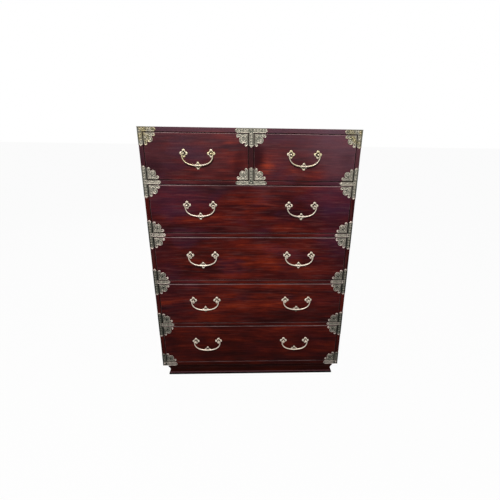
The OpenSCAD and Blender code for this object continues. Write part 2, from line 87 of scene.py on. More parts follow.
cameraData = bpy.data.cameras.new("view")
cameraData.lens = view["lens"]
cameraData.sensor_width = view["sensor"]
cameraData.shift_x = view["shiftX"]
cameraData.shift_y = view["shiftY"]
cameraData.clip_end = 60
camera = linked("view", cameraData)
turn = (Matrix.Rotation(math.radians(view["yaw"]), 4, "Z")
        @ Matrix.Rotation(math.radians(view["pitch"]), 4, "X")
        @ Matrix.Rotation(math.radians(view["roll"]), 4, "Y"))
camera.matrix_world = Matrix.Translation(view["place"]) @ turn @ Matrix.Rotation(math.pi / 2, 4, "X")
bpy.context.scene.camera = camera
bpy.context.scene.view_settings.view_transform = "Standard"

# Each light's place, aim, size, power and colour
lights = {
    "key": ((-0.38, -3.05, 2.75), (0, -0.2, 0.75), (0.35, 0.3), 133, (1.0, 0.985, 0.96)),
    "window": ((-0.3, -3.7, 1.62), (0, -0.2, 0.9), (3.2, 0.9), 4, (0.9, 0.94, 1.0)),
    "ceiling": ((0.3, -0.9, 3.2), (0, -0.1, 0.8), (2.2, 1.6), 7, (1.0, 0.99, 0.97)),
    "side": ((3.2, -1.0, 2.0), (0, 0, 0.7), (1.6, 1.6), 22, (1.0, 0.98, 0.95)),
    "otherSide": ((-3.2, -0.6, 2.0), (0, 0, 0.7), (1.6, 1.6), 22, (0.96, 0.98, 1.0)),
    "rear": ((-0.8, 3.4, 2.4), (0, 0.2, 0.6), (2.0, 2.0), 48, (1.0, 1.0, 1.0)),
}
for name, (place, aim, size, power, colour) in lights.items():
    lamp = bpy.data.lights.new(name, "AREA")
    lamp.shape = "RECTANGLE"
    lamp.size, lamp.size_y = size
    lamp.energy = power
    lamp.color = colour
    lampObject = linked(name, lamp)
    lampObject.location = place
    lampObject.rotation_euler = (Vector(aim) - Vector(place)).to_track_quat("-Z", "Y").to_euler()
    lampObject.visible_camera = False


class Net:  # short calls for adding and joining nodes
    def __init__(self, tree):
        self.tree = tree

    def put(self, kind, settings=None, *inOrder, **byName):
        node = self.tree.nodes.new(kind if "Node" in kind else "ShaderNode" + kind)
        for key, value in (settings or {}).items():
            setattr(node, key, value)
        self.fill(node.inputs, {**dict(enumerate(inOrder)), **byName})
        return node

    def fill(self, sockets, values):
        for key, value in values.items():
            if isinstance(value, bpy.types.Node):
                value = value.outputs[0]
            if isinstance(value, bpy.types.NodeSocket):
                self.tree.links.new(value, sockets[key])
            else:
                sockets[key].default_value = value

    def math(self, operation, *values, clamp=False):
        return self.put("Math", {"operation": operation, "use_clamp": clamp}, *values).outputs[0]

    def plus(self, a, b, clamp=False):
        return self.math("ADD", a, b, clamp=clamp)

    def minus(self, a, b):
        return self.math("SUBTRACT", a, b)

    def times(self, product, *others, clamp=False):
        for value in others:
            product = self.math("MULTIPLY", product, value, clamp=clamp)
        return product

    def size(self, a):
        return self.math("ABSOLUTE", a)

    def noise(self, vector, scale, detail=3.0, roughness=0.5):
        if isinstance(scale, tuple):  # stretched differently along each axis
            vector = self.put("Mapping", Vector=vector, Scale=scale)
            scale = 1.0
        node = self.put("TexNoise", Vector=vector, Scale=scale, Detail=detail, Roughness=roughness)
        return node.outputs["Fac"]

    def remap(self, value, low, high, toLow=0.0, toHigh=1.0):
        smooth = {"interpolation_type": "SMOOTHSTEP"}
        return self.put("MapRange", smooth, value, low, high, toLow, toHigh).outputs[0]

    def ramp(self, value, stops):
        node = self.put("ValToRGB", None, value)
        band = node.color_ramp.elements
        band.remove(band[1])
        band[0].position = stops[0][0]
        for n, (place, *colour) in enumerate(stops):
            stop = band.new(place) if n else band[0]
            stop.color = rgb(*colour)
        return node.outputs[0]

    def mixColour(self, factor, a, b, mode="MIX"):
        node = self.put("Mix", {"data_type": "RGBA", "blend_type": mode})
        self.fill(node.inputs, {0: factor, 6: a, 7: b})
        return node.outputs[2]

    def group(self, tree, **values):
        return self.put("Group", {"node_tree": tree}, **values).outputs

    def dress(self, shader, look, colour, roughness, height):
        bump = self.put("Bump", Height=height, Strength=look["bump"], Distance=look["grain"])
        changing = {"Base Color": colour, "Roughness": roughness, "Normal": bump}
        self.fill(shader.inputs, {**changing, **look["plain"]})


def newMaterial(name):
    material = bpy.data.materials.new(name)
    material.use_nodes = True
    return material, Net(material.node_tree), material.node_tree.nodes["Principled BSDF"]


def seenMask(net):
    # 1 where the camera, a reflection or a view through glass meets the surroundings
    path = net.put("LightPath").outputs
    direct = net.plus(path["Is Camera Ray"], path["Is Glossy Ray"])
    return net.plus(direct, path["Is Transmission Ray"], clamp=True)


room = {"seen": (1.0, 1.0, 1.0, 1), "light": (0.105, 0.108, 0.115, 1), "floor": (0.58, 0.58, 0.58, 1),
        "floorGlow": 0.96, "floorHalf": 30, "floorZ": -0.0005}
world = bpy.data.worlds.new("room")
bpy.context.scene.world = world
world.use_nodes = True
world.node_tree.nodes.clear()
net = Net(world.node_tree)
shown = net.mixColour(seenMask(net), room["light"], room["seen"])
net.put("OutputWorld", None, net.put("Background", None, shown))

floorMaterial, net, shader = newMaterial("paleFloor")
net.tree.nodes.clear()
diffuse = net.put("BsdfDiffuse", None, room["floor"])
glow = net.put("Emission", None, room["seen"])
share = net.times(seenMask(net), room["floorGlow"])
net.put("OutputMaterial", None, net.put("MixShader", None, share, diffuse, glow))
edge = room["floorHalf"]
corners = [(-edge, -edge, 0), (edge, -edge, 0), (edge, edge, 0), (-edge, edge, 0)]
floorMesh = newMesh("floor", corners, [(0, 1, 2, 3)])
floorMesh.materials.append(floorMaterial)
floor = linked("floor", floorMesh)
floor.location.z = room["floorZ"]
print("camera, lights and floor are set")


# Shader groups shared by the materials

def newGroup(kind, name, inputs, outputs, outputWord="Float"):
    # An input is given with its default value, or with the word for its socket where it has none
    group = bpy.data.node_groups.new(name, kind + "NodeTree")
    for key, default in inputs.items():
        word = default if isinstance(default, str) else "Int" if isinstance(default, int) else "Float"
        socket = group.interface.new_socket(key, in_out="INPUT", socket_type="NodeSocket" + word)
        if word != default:
            socket.default_value = default
    for key in outputs:
        group.interface.new_socket(key, in_out="OUTPUT", socket_type="NodeSocket" + outputWord)
    return Net(group), group.nodes.new("NodeGroupInput").outputs, group.nodes.new("NodeGroupOutput").inputs


def rgb(*colour):
    return tuple(((c / 255 + 0.055) / 1.055) ** 2.4 if c > 10 else c / 3294.6 for c in colour) + (1,)


# Each noise of the wood: its scale along and across the grain, detail and roughness
figureLook = {
    "wander": ((1.3, 3.0, 3.0), 2.0), "drift": 0.09,
    "bands": ((3.0, 20.0, 20.0), 4.0, 0.55), "streaks": ((6.0, 110.0, 110.0), 4.0, 0.62),
    "mottle": ((9.0, 22.0, 22.0), 3.0, 0.55), "contrast": 1.95,
    "pores": ((55.0, 1100.0, 1100.0), 2.0, 0.6), "poresFrom": (0.60, 0.72),
    "zone": ((1.5, 3.6, 3.6), 1.5), "zoneFrom": (0.36, 0.64), "streakHeight": 0.4,
}


def figureGroup():
    # Streaky wood figure along X: broad bands, fine streaks, cross mottle and pores
    inputs = {"Vector": "Vector", "Bands": 0.62, "Streaks": 0.38, "Mottle": 0.34, "Pores": 0.35}
    net, start, end = newGroup("Shader", "woodFigure", inputs, ["Figure", "Pores", "Zone", "Height"])
    look = figureLook
    drift = net.times(net.minus(net.noise(start["Vector"], *look["wander"]), 0.5), look["drift"])
    push = net.put("CombineXYZ", None, 0.0, drift, drift)
    bent = net.put("VectorMath", {"operation": "ADD"}, start["Vector"], push).outputs[0]
    streaks = net.noise(bent, *look["streaks"])
    weighted = net.times(net.minus(net.noise(bent, *look["bands"]), 0.5), start["Bands"])
    for value, amount in ((streaks, "Streaks"), (net.noise(bent, *look["mottle"]), "Mottle")):
        weighted = net.plus(weighted, net.times(net.minus(value, 0.5), start[amount]))
    pores = net.remap(net.noise(bent, *look["pores"]), *look["poresFrom"])
    net.fill(end, {
        "Figure": net.plus(net.times(weighted, look["contrast"]), 0.5, clamp=True),
        "Pores": net.times(pores, start["Pores"]),
        "Zone": net.remap(net.noise(start["Vector"], *look["zone"]), *look["zoneFrom"]),
        "Height": net.minus(net.times(streaks, look["streakHeight"]), pores)})
    return net.tree


edgeWearAndHighlightLook = {"broken": (9.0, 4.0, 0.65), "brokenFrom": (0.34, 0.6, 0.35, 1.0),
            "haze": (2.6, 5.0, 0.6), "hazeFrom": (0.35, 0.7)}


def edgeWearAndHighlightGroup():
    # Rubbed edges, which also carry a painted highlight on edges that face up, and a light film of dust: a
    # mask from the piece's own edge attribute, broken up by noise
    inputs = {"Vector": "Vector", "Edge": 0.0, "Amount": 0.6}
    net, start, end = newGroup("Shader", "edgeWearAndHighlight", inputs, ["Mask", "Haze"])
    look = edgeWearAndHighlightLook
    broken = net.remap(net.noise(start["Vector"], *look["broken"]), *look["brokenFrom"])
    net.fill(end, {
        "Mask": net.times(net.times(start["Edge"], broken), start["Amount"], clamp=True),
        "Haze": net.remap(net.noise(start["Vector"], *look["haze"]), *look["hazeFrom"])})
    return net.tree


toneLook = {"cloud": (34.0, 4.0, 0.6), "fine": (620.0, 2.0, 0.6), "fineShare": 0.35}


def toneGroup():
    # Brass toning: the piece's relief and noise decide between dark hollows, toned ground and bright rims
    inputs = {"Vector": "Vector", "Relief": 0.5, "Grime": 0.5}
    net, start, end = newGroup("Shader", "brassTone", inputs, ["Tone", "Cloud", "Speck"])
    cloud = net.noise(start["Vector"], *toneLook["cloud"])
    fine = net.noise(start["Vector"], *toneLook["fine"])
    dirty = net.times(net.minus(cloud, 0.5), start["Grime"])
    speck = net.times(net.minus(fine, 0.5), toneLook["fineShare"])
    tone = net.plus(net.plus(start["Relief"], dirty), speck, clamp=True)
    net.fill(end, {"Tone": tone, "Cloud": cloud, "Speck": fine})
    return net.tree


woodFigure = figureGroup()
edgeWearAndHighlight = edgeWearAndHighlightGroup()
brassTone = toneGroup()

# Dark red polished wood. Heights and places are in metres; shares are how strongly a tint covers
mahogany = {
    "stops": [(0.04, 22, 5, 6), (0.30, 43, 11, 10), (0.50, 60, 15, 11), (0.70, 81, 23, 14),
              (0.94, 114, 40, 19)],
    # the cool cast grows upwards: partly the wood's own tone, partly a painted reflection of cool daylight on
    # the upper rows
    "cool": rgb(42, 13, 22), "coolHeight": (0.30, 0.80), "coolShare": (0.2, 0.66), "uprightCool": 0.5,
    "margin": (0.22, 0.50), "marginShare": 0.6, "zoneShare": 0.4,
    "cloud": rgb(46, 22, 38), "cloudNoise": ((4.5, 9.0, 9.0), 3.5), "cloudFrom": (0.50, 0.66),
    "cloudHeight": (0.35, 0.75), "cloudShare": (0.08, 0.42),
    # fine light streaks along the grain: partly the wood's silky figure, partly a painted sheen, stronger
    # higher up
    "silk": rgb(132, 92, 90), "silkNoise": ((8.0, 120.0, 120.0), 3.0, 0.6), "silkFrom": (0.48, 0.68),
    "silkHeight": (0.15, 0.60), "silkFade": (0.3, 1.0), "silkShare": 0.085,
    # painted sheen: a pale violet reflection over the upper rows, stronger to the right
    "topSheen": rgb(112, 84, 96), "topSheenHeight": (0.95, 1.30), "topSheenSide": (0.1, 0.42),
    "topSheenShare": (0.13, 0.34),
    # painted sheen: the top of the case, above the drawers, paler and greyer
    "top": rgb(74, 58, 68), "topHeight": (1.262, 1.266), "topShare": 0.42,
    "pore": rgb(20, 7, 8),
    # painted shade: the wood darker towards the floor, where less light reaches
    "low": rgb(14, 2, 0), "lowHeight": (0.05, 0.60), "lowShare": 0.46, "uprightDark": 0.22,
    # painted shade under the case's overhang: the plinth and the foot of the bottom rail darker still
    "plinthHeight": (0.072, 0.098), "plinthShare": 0.60,
    # light edge colour: rubbed wear, and a painted highlight on edges that face up
    "edge": rgb(138, 116, 116), "edgeAmount": 0.75,
    # painted highlight along the upper edge of each drawer face
    "ridge": rgb(150, 122, 124), "ridgeShare": 0.55, "ridgeHalf": (0.0006, 0.0028), "ridgeDeep": 0.002,
    "firstRidge": 1.0415, "pitch": 0.241, "ridgeRows": (0.15, 1.1), "topRidge": 1.2585, "topRidgeShare": 0.45,
    "ridgeMiddle": (0.05, 0.42, 0.3, 1.0), "ridgeHeight": (0.28, 0.66, 0.26, 1.0), "ridgeHaze": (0.5, 1.0),
    # painted shade inside the gaps round the drawers
    "gap": rgb(6, 3, 3), "gapFrom": (0.0009, 0.0024), "gapFar": (0.013, 0.016), "gapIn": 1.5, "gapFoot": 0.5,
    # painted highlight: a pale line along the plinth just above its dark foot
    "footLine": rgb(92, 60, 68), "footLineZ": 0.0133, "footLineHalf": (0.0008, 0.0026), "footLineShare": 0.55,
    "footShade": (0.009, 0.0105), "footShadeShare": 0.92,
    "gloss": (0.28, 0.42), "plain": {"Specular IOR Level": 0.02}, "bump": 0.35, "grain": 0.00012,
    # spots on the front: x, z, half width, half height, strength
    "smudges": [
        (0.018, 1.160, 0.046, 0.085, 0.80), (-0.43, 1.115, 0.05, 0.05, 0.45), (0.25, 0.40, 0.12, 0.03, 0.25),
        (-0.05, 1.13, 0.03, 0.06, 0.40), (-0.42, 0.73, 0.05, 0.09, 0.28), (0.20, 0.60, 0.09, 0.06, 0.55),
        (-0.43, 0.21, 0.05, 0.07, 0.28), (0.19, 1.14, 0.07, 0.04, 0.16), (0.42, 1.155, 0.04, 0.05, 0.20)],
    "smudge": rgb(26, 8, 14),
    # painted sheen: pale violet spots of reflected light
    "sheenSpots": [(-0.32, 0.98, 0.16, 0.09, 0.1), (0.38, 0.99, 0.13, 0.12, 0.12), (0.4, 0.8, 0.1, 0.06, 0.1)],
    "haze": rgb(84, 54, 86),
    "flares": [
        (0.062, 1.118, 0.05, 0.045, 0.60), (-0.095, 1.205, 0.05, 0.028, 0.38), (0.04, 0.95, 0.15, 0.07, 0.18),
        (0.20, 0.715, 0.2, 0.07, 0.14), (-0.12, 0.655, 0.2, 0.05, 0.28), (0.05, 0.48, 0.28, 0.08, 0.12)],
    "flare": rgb(146, 50, 16), "flareFigure": (0.30, 0.76),
    "spotFade": (0.25, 1.25), "spotDepth": 40.0, "wander": 7.0, "marginWander": 0.5, "topSheenWander": 0.3,
}


def spotMask(net, place, wander, spots):
    total = 0.0
    for x, z, wide, tall, strength in spots:
        centred = net.put("Mapping", {"vector_type": "TEXTURE"}, Vector=place,
                          Location=(x, 0, z), Scale=(wide, mahogany["spotDepth"], tall))
        length = net.put("VectorMath", {"operation": "LENGTH"}, centred).outputs["Value"]
        mask = net.remap(net.plus(length, wander), *mahogany["spotFade"], 1.0, 0.0)
        total = net.math("MAXIMUM", total, net.times(mask, strength))
    return total


def ridgeMask(net, x, z, behind):
    # A painted highlight: a soft light line along the upper edge of each drawer face, where light from above
    # catches it, fainter in the middle and towards the floor
    look = mahogany
    steps = net.math("DIVIDE", net.minus(z, look["firstRidge"]), look["pitch"])
    offset = net.times(net.size(net.minus(steps, net.math("ROUND", steps))), look["pitch"])
    lowest, highest = look["ridgeRows"]
    wide = net.times(net.remap(offset, *look["ridgeHalf"], 1.0, 0.0), net.math("LESS_THAN", z, highest),
                     net.math("GREATER_THAN", z, lowest))
    top = net.remap(net.size(net.minus(z, look["topRidge"])), *look["ridgeHalf"], look["topRidgeShare"], 0.0)
    return net.times(net.math("MAXIMUM", wide, top), net.remap(net.size(x), *look["ridgeMiddle"]),
                     net.remap(z, *look["ridgeHeight"]), net.math("LESS_THAN", behind, look["ridgeDeep"]))


def gapMask(net, x, z, behind):
    # Painted shade on the faces inside the gaps round the drawers, which light hardly reaches
    look = mahogany
    return net.times(net.remap(behind, *look["gapFrom"]), net.remap(behind, *look["gapFar"], 1.0, 0.0),
                     net.math("LESS_THAN", net.size(x), (halfW - look["gapIn"]) * mm),
                     net.math("LESS_THAN", z, (case["topZ"] - look["gapIn"]) * mm),
                     net.math("GREATER_THAN", z, (case["footZ"] + look["gapFoot"]) * mm))


def mahoganyMaterial(name, rotation, across=False):
    material, net, shader = newMaterial(name)
    look = mahogany
    place = net.put("TexCoord").outputs["Object"]
    x, y, z = net.put("SeparateXYZ", None, place).outputs
    behind = net.minus(y, frontY * mm)
    wander = net.minus(net.noise(place, look["wander"]), 0.5)
    along = net.put("Mapping", Vector=place, Rotation=rotation).outputs[0]
    figure = net.group(woodFigure, Vector=along)
    colour = net.ramp(figure["Figure"], look["stops"])

    def over(share, tint):
        nonlocal colour
        colour = net.mixColour(share, colour, look[tint])

    fromMiddle = net.plus(net.size(x), net.times(wander, look["marginWander"]))
    margin = net.times(net.remap(fromMiddle, *look["margin"]), look["marginShare"])
    zone = net.plus(margin, net.times(figure["Zone"], look["zoneShare"]), clamp=True)
    # The cool cast grows upwards: partly the wood's own tone, partly a painted reflection of cool daylight on
    # the upper rows
    cool = net.remap(z, *look["coolHeight"], *look["coolShare"])
    over(net.times(zone, cool if across else net.times(cool, look["uprightCool"])), "cool")
    cloud = net.remap(net.noise(along, *look["cloudNoise"]), *look["cloudFrom"])
    over(net.times(cloud, net.remap(z, *look["cloudHeight"], *look["cloudShare"])), "cloud")
    # Fine light streaks along the grain: partly the wood's silky figure, partly a painted sheen, stronger
    # higher up
    silk = net.remap(net.noise(along, *look["silkNoise"]), *look["silkFrom"])
    over(net.times(silk, net.remap(z, *look["silkHeight"], *look["silkFade"]), look["silkShare"]), "silk")
    if across:
        streaky = net.remap(figure["Figure"], *look["flareFigure"])
        over(net.times(spotMask(net, place, wander, look["flares"]), streaky), "flare")
        # Painted sheen: pale violet spots of reflected light
        over(spotMask(net, place, wander, look["sheenSpots"]), "haze")
    # Painted sheen: a pale violet reflection over the upper rows, stronger to the right
    high = net.remap(net.plus(z, net.times(wander, look["topSheenWander"])), *look["topSheenHeight"])
    over(net.times(high, net.remap(x, *look["topSheenSide"], *look["topSheenShare"])), "topSheen")
    if across:
        over(spotMask(net, place, wander, look["smudges"]), "smudge")
    else:
        over(look["uprightDark"], "low")
    # Painted sheen: the top of the case, above the drawers, paler and greyer
    over(net.remap(z, *look["topHeight"], 0.0, look["topShare"]), "top")
    over(figure["Pores"], "pore")
    # Painted shade: darker towards the floor, where less light reaches
    over(net.remap(z, *look["lowHeight"], look["lowShare"], 0.0), "low")
    # Painted shade under the case's overhang: the plinth and the foot of the bottom rail darker still
    over(net.remap(z, *look["plinthHeight"], look["plinthShare"], 0.0), "low")
    edge = net.put("Attribute", {"attribute_name": "edge"}).outputs["Fac"]
    wearAndHighlight = net.group(edgeWearAndHighlight, Vector=place, Edge=edge, Amount=look["edgeAmount"])
    # Painted highlight along the upper edge of each drawer face
    if across:
        hazy = net.remap(wearAndHighlight["Haze"], 0.0, 1.0, *look["ridgeHaze"])
        over(net.times(ridgeMask(net, x, z, behind), hazy, look["ridgeShare"]), "ridge")
    # Light edges: partly rubbed wear, partly a painted highlight on edges that face up
    over(wearAndHighlight["Mask"], "edge")
    over(gapMask(net, x, z, behind), "gap")
    # Painted highlight: a pale line along the plinth just above its dark foot
    fromLine = net.size(net.minus(z, look["footLineZ"]))
    over(net.remap(fromLine, *look["footLineHalf"], look["footLineShare"], 0.0), "footLine")
    over(net.remap(z, *look["footShade"], look["footShadeShare"], 0.0), "gap")
    gloss = net.remap(wearAndHighlight["Haze"], 0.0, 1.0, *look["gloss"])
    net.dress(shader, look, colour, gloss, figure["Height"])
    return material


paleWood = {"Bands": 0.35, "Streaks": 0.5, "Mottle": 0.12, "Pores": 0.55}
paleFinish = {"plain": {"Specular IOR Level": 0.25}, "bump": 0.4, "grain": 0.00015, "forward": 0.6}
oakLook = {"stops": [(0.1, 148, 112, 72), (0.5, 182, 142, 96), (0.9, 205, 168, 120)],
           "pore": rgb(112, 80, 48), "roughness": (0.45, 0.62)}
plywoodLook = {"stops": [(0.1, 132, 98, 62), (0.5, 160, 122, 80), (0.9, 184, 146, 100)],
               "pore": rgb(104, 74, 46), "roughness": (0.6, 0.78)}


def paleWoodMaterial(name, look):
    # Grain runs along Y on faces that look sideways or up, and along X on faces that look forwards or back
    material, net, shader = newMaterial(name)
    place = net.put("TexCoord").outputs
    facing = net.put("SeparateXYZ", None, place["Normal"]).outputs[1]
    sideways = net.put("Mapping", Vector=place["Object"], Rotation=(0, 0, math.pi / 2))
    grain = net.put("Mix", {"data_type": "VECTOR"})
    net.fill(grain.inputs, {0: net.math("GREATER_THAN", net.size(facing), paleFinish["forward"]),
                            4: sideways, 5: place["Object"]})
    figure = net.group(woodFigure, Vector=grain.outputs[1], **paleWood)
    colour = net.mixColour(figure["Pores"], net.ramp(figure["Figure"], look["stops"]), look["pore"])
    gloss = net.remap(figure["Zone"], 0.0, 1.0, *look["roughness"])
    net.dress(shader, paleFinish, colour, gloss, figure["Height"])
    return material


# Brass: the pair of heights before "dark" is where it changes from the lower rows' toning to the top's. This
# toning is painted light and shade: the plates darker and the pulls lighter towards the floor
plateLook = {
    "stops": [(0.04, 34, 35, 31), (0.30, 76, 77, 70), (0.55, 112, 109, 99), (0.85, 158, 149, 137),
              (1.0, 196, 178, 170)],
    "cloud": rgb(190, 195, 192), "cloudShare": 0.6, "roughness": (0.60, 0.42), "grime": 0.45,
    "paintedLightHeights": (0.30, 1.15), "dark": 0.27, "lift": 0.08, "liftLow": 0.34,
    "evenHeight": (0.80, 1.18), "even": 0.45, "evenTone": 0.55, "topHeight": (1.18, 1.27), "topDark": 0.06,
    "yellow": rgb(255, 245, 208), "yellowHeight": (1.14, 1.25), "yellowSides": (0.12, 0.40),
    # painted shade: the plates darken towards the floor
    "shade": 0.16, "paintedShade": rgb(14, 15, 13),
}
pullLook = {
    "stops": [(0.05, 27, 25, 21), (0.35, 86, 80, 69), (0.62, 148, 138, 124), (0.95, 195, 183, 169)],
    "cloud": rgb(232, 226, 218), "cloudShare": 0.5, "roughness": (0.64, 0.50), "grime": 0.25,
    "paintedLightHeights": (0.25, 1.15), "dark": -0.44, "hollow": (0.15, 0.55), "lift": 0.30, "liftLow": 0.02,
    "yellow": rgb(250, 251, 218), "yellowHeight": (1.0, 1.2), "yellowSides": (0.0, 0.1),
}
brassFinish = {"crest": (0.85, 1.0), "up": 0.9, "left": 0.35, "cloudFrom": (0.42, 0.68),
               "yellowFrom": (0.40, 0.62), "toneRange": (0.1, 0.95), "plain": {"Metallic": 1.0},
               "bump": 0.25, "grain": 0.00012}


def brassMaterial(name, look):
    material, net, shader = newMaterial(name)
    place = net.put("TexCoord").outputs
    relief = net.put("Attribute", {"attribute_name": "relief"}).outputs["Fac"]
    tone = net.group(brassTone, Vector=place["Object"], Relief=relief, Grime=look["grime"])
    x, y, z = net.put("SeparateXYZ", None, place["Object"]).outputs
    normal = net.put("SeparateXYZ", None, place["Normal"]).outputs
    value = tone["Tone"]
    low = net.remap(z, *look["paintedLightHeights"], 1.0, 0.0)
    if "even" in look:  # more even at the top, painted as the flat brass reflecting the bright room
        even = net.remap(z, *look["evenHeight"], 0.0, look["even"])
        value = net.plus(value, net.times(net.minus(look["evenTone"], value), even))
        value = net.minus(value, net.remap(z, *look["topHeight"], 0.0, look["topDark"]))
    crest = net.remap(relief, *brassFinish["crest"], 1.0, 0.0)
    if "hollow" in look:
        crest = net.times(crest, net.remap(relief, *look["hollow"]))
    # Painted shade and light: the plates darker towards the floor except on their crests, the pulls lighter
    # there except in their hollows and on their crests
    value = net.minus(value, net.times(low, look["dark"], crest))
    # Painted light: brighter where it faces up and a little to the left, towards the key light, darker where
    # it faces down, more so lower down
    facing = net.minus(net.times(normal[2], brassFinish["up"]), net.times(normal[0], brassFinish["left"]))
    lift = net.times(facing, net.plus(net.times(low, look["liftLow"]), look["lift"]))
    value = net.plus(value, lift, clamp=True)
    cloudy = net.times(net.remap(tone["Cloud"], *brassFinish["cloudFrom"]), look["cloudShare"])
    colour = net.mixColour(cloudy, net.ramp(value, look["stops"]), look["cloud"], "MULTIPLY")
    patches = net.remap(tone["Cloud"], *brassFinish["yellowFrom"])
    sides = net.remap(net.size(x), *look["yellowSides"])
    yellow = net.times(net.remap(z, *look["yellowHeight"]), patches, sides)
    colour = net.mixColour(yellow, colour, look["yellow"], "MULTIPLY")
    # Painted shade: the plates darken towards the floor
    if "shade" in look:
        colour = net.mixColour(net.times(low, look["shade"]), colour, look["paintedShade"])
    gloss = net.remap(value, *brassFinish["toneRange"], *look["roughness"])
    net.dress(shader, brassFinish, colour, gloss, tone["Speck"])
    return material


mahoganyAcross = mahoganyMaterial("mahoganyAcross", (0, 0, 0), across=True)
mahoganyUp = mahoganyMaterial("mahoganyUp", (0, math.pi / 2, 0))
mahoganyBack = mahoganyMaterial("mahoganyBack", (0, 0, math.pi / 2))
oak = paleWoodMaterial("drawerOak", oakLook)
plywood = paleWoodMaterial("plywood", plywoodLook)
plateBrass = brassMaterial("antiqueBrass", plateLook)
pullBrass = brassMaterial("paleBrass", pullLook)
print("materials are ready")


# Wooden boards: merged copies of the construction, with rounded front edges

def meshObject(name, mesh, material):
    mesh.materials.clear()
    mesh.materials.append(material)
    return linked(name, mesh)


def finish(piece, body, slotName, *nodes):
    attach(piece, body)
    if nodes:
        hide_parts(*nodes)


# Radii and depths behind the front in millimetres; only edges longer than "longer" are rounded
rounding = {"board": 1.3, "boardDepth": 0.2, "front": 0.9, "frontDepth": 1.2, "plinth": 0.7,
            "plinthEdgeShare": 0.6, "steps": 3, "longer": 40.0, "corner": 30, "flat": 0.995,
            "up": 0.3, "downEdgeShare": 0.08, "sideEdgeShare": 0.3, "slope": (0.02, 0.98), "sharp": 35}


def writeBack(bm, mesh):
    bmesh.ops.triangulate(bm, faces=[f for f in bm.faces if len(f.verts) > 4])
    bm.to_mesh(mesh)
    bm.free()


def roundedBoard(name, node, material, body, radius, wearAndHighlight, depth=None):
    # Without a depth the piece is moulded: all its long edges are rounded and its slopes are smooth
    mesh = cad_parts[node].data.copy()
    mesh.attributes.remove(mesh.attributes["custom_normal"])  # the flat faces take their own normals again
    bm = bmesh.new()
    bm.from_mesh(mesh)
    bmesh.ops.remove_doubles(bm, verts=bm.verts, dist=1e-5)
    bmesh.ops.dissolve_limit(bm, angle_limit=math.radians(0.4), verts=bm.verts, edges=bm.edges)
    edges = []
    for edge in bm.edges:
        if len(edge.link_faces) != 2 or edge.calc_face_angle(0) < math.radians(rounding["corner"]):
            continue
        a, b = (v.co / mm for v in edge.verts)
        if (a - b).length > rounding["longer"] and (depth is None or max(a.y, b.y) < frontY + depth):
            edges.append(edge)
    for face in bm.faces:
        face.smooth = False
    made = bmesh.ops.bevel(bm, geom=edges, offset=radius * mm, offset_type="OFFSET", profile=0.5,
                           segments=rounding["steps"], affect="EDGES", clamp_overlap=True)
    layer = bm.loops.layers.float.new("edge")
    bm.normal_update()
    for face in made["faces"]:
        up = face.normal.z
        # The rebuilt flat faces beside an edge stay flat
        if max(abs(c) for c in face.normal) < rounding["flat"]:
            face.smooth = True
            # Edges that face up get the full light tint: rubbed and dusty, and a painted highlight where
            # light from above catches them; other edges get less
            share = rounding["sideEdgeShare"]
            if abs(up) > rounding["up"]:
                share = 1.0 if up > 0 else rounding["downEdgeShare"]
            for loop in face.loops:
                loop[layer] = wearAndHighlight * share
    least, most = rounding["slope"]
    for face in bm.faces:
        if depth is None and not face.smooth and least < abs(face.normal.z) < most:
            face.smooth = True
    writeBack(bm, mesh)
    mesh.set_sharp_from_angle(angle=math.radians(rounding["sharp"]))
    finish(meshObject(name, mesh, material), body, "mahogany", node)


boards = [
    ("topBoard", "case_top", mahoganyAcross, 0.4),
    ("leftSide", "side_left", mahoganyUp, 0.25),
    ("rightSide", "side_right", mahoganyUp, 0.25),
    ("divider", "centre_divider", mahoganyUp, 0.25),
    ("firstRail", "rail_1", mahoganyAcross, 0.5),
    ("secondRail", "rail_2", mahoganyAcross, 0.5),
    ("thirdRail", "rail_3", mahoganyAcross, 0.5),
    ("fourthRail", "rail_4", mahoganyAcross, 0.5),
    ("footRail", "bottom_rail", mahoganyAcross, 0.7),
]
for name, node, material, wearAndHighlight in boards:
    roundedBoard(name, node, material, "case", rounding["board"], wearAndHighlight, rounding["boardDepth"])
for drawer in drawers:
    roundedBoard(drawer + "Face", drawer + "_front", mahoganyAcross, drawer, rounding["front"], 1.0,
                 rounding["frontDepth"])
plinth = [("plinthFace", "plinth_front", mahoganyAcross), ("plinthReturns", "plinth_sides", mahoganyBack)]
for name, node, material in plinth:
    roundedBoard(name, node, material, "case", rounding["plinth"], rounding["plinthEdgeShare"])
print("boards are rounded")

# The hidden woodwork keeps the construction's shapes
plainWood = {"web_frames": oak, "drawer_stops": oak, "glue_blocks": oak, "plinth_back": oak,
             "case_bottom": plywood, "back_panel": plywood, "dust_panels": plywood}
for drawer in drawers:
    plainWood.update({drawer + "_box": oak, drawer + "_bottom": plywood})
for node, material in plainWood.items():
    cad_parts[node].data.materials.clear()
    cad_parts[node].data.materials.append(material)


# Embossed plates: an outline given as a distance, cut from a grid, raised by rims and scrolls

def joined(parts):
    # Outline of boxes (x0, z0, x1, z1) and rounds (x, z, radius) joined together, below 0 inside
    def outline(x, z):
        result = np.full(x.shape, np.inf)
        for part in parts:
            if len(part) == 3:
                distance = np.hypot(x - part[0], z - part[1]) - part[2]
            else:
                dx = np.maximum(part[0] - x, x - part[2])
                dz = np.maximum(part[1] - z, z - part[3])
                distance = np.hypot(np.maximum(dx, 0), np.maximum(dz, 0)) + np.minimum(np.maximum(dx, dz), 0)
            result = np.minimum(result, distance)
        return result
    return outline


def lineDistance(x, z, lines):
    nearest = np.full(x.shape, 1e3)
    for line in lines:
        points = np.asarray(line, float)
        for a, b in zip(points[:-1], points[1:]):
            ab = b - a
            share = np.clip(((x - a[0]) * ab[0] + (z - a[1]) * ab[1]) / max(ab @ ab, 1e-9), 0, 1)
            nearest = np.minimum(nearest, np.hypot(x - a[0] - share * ab[0], z - a[1] - share * ab[1]))
    return nearest


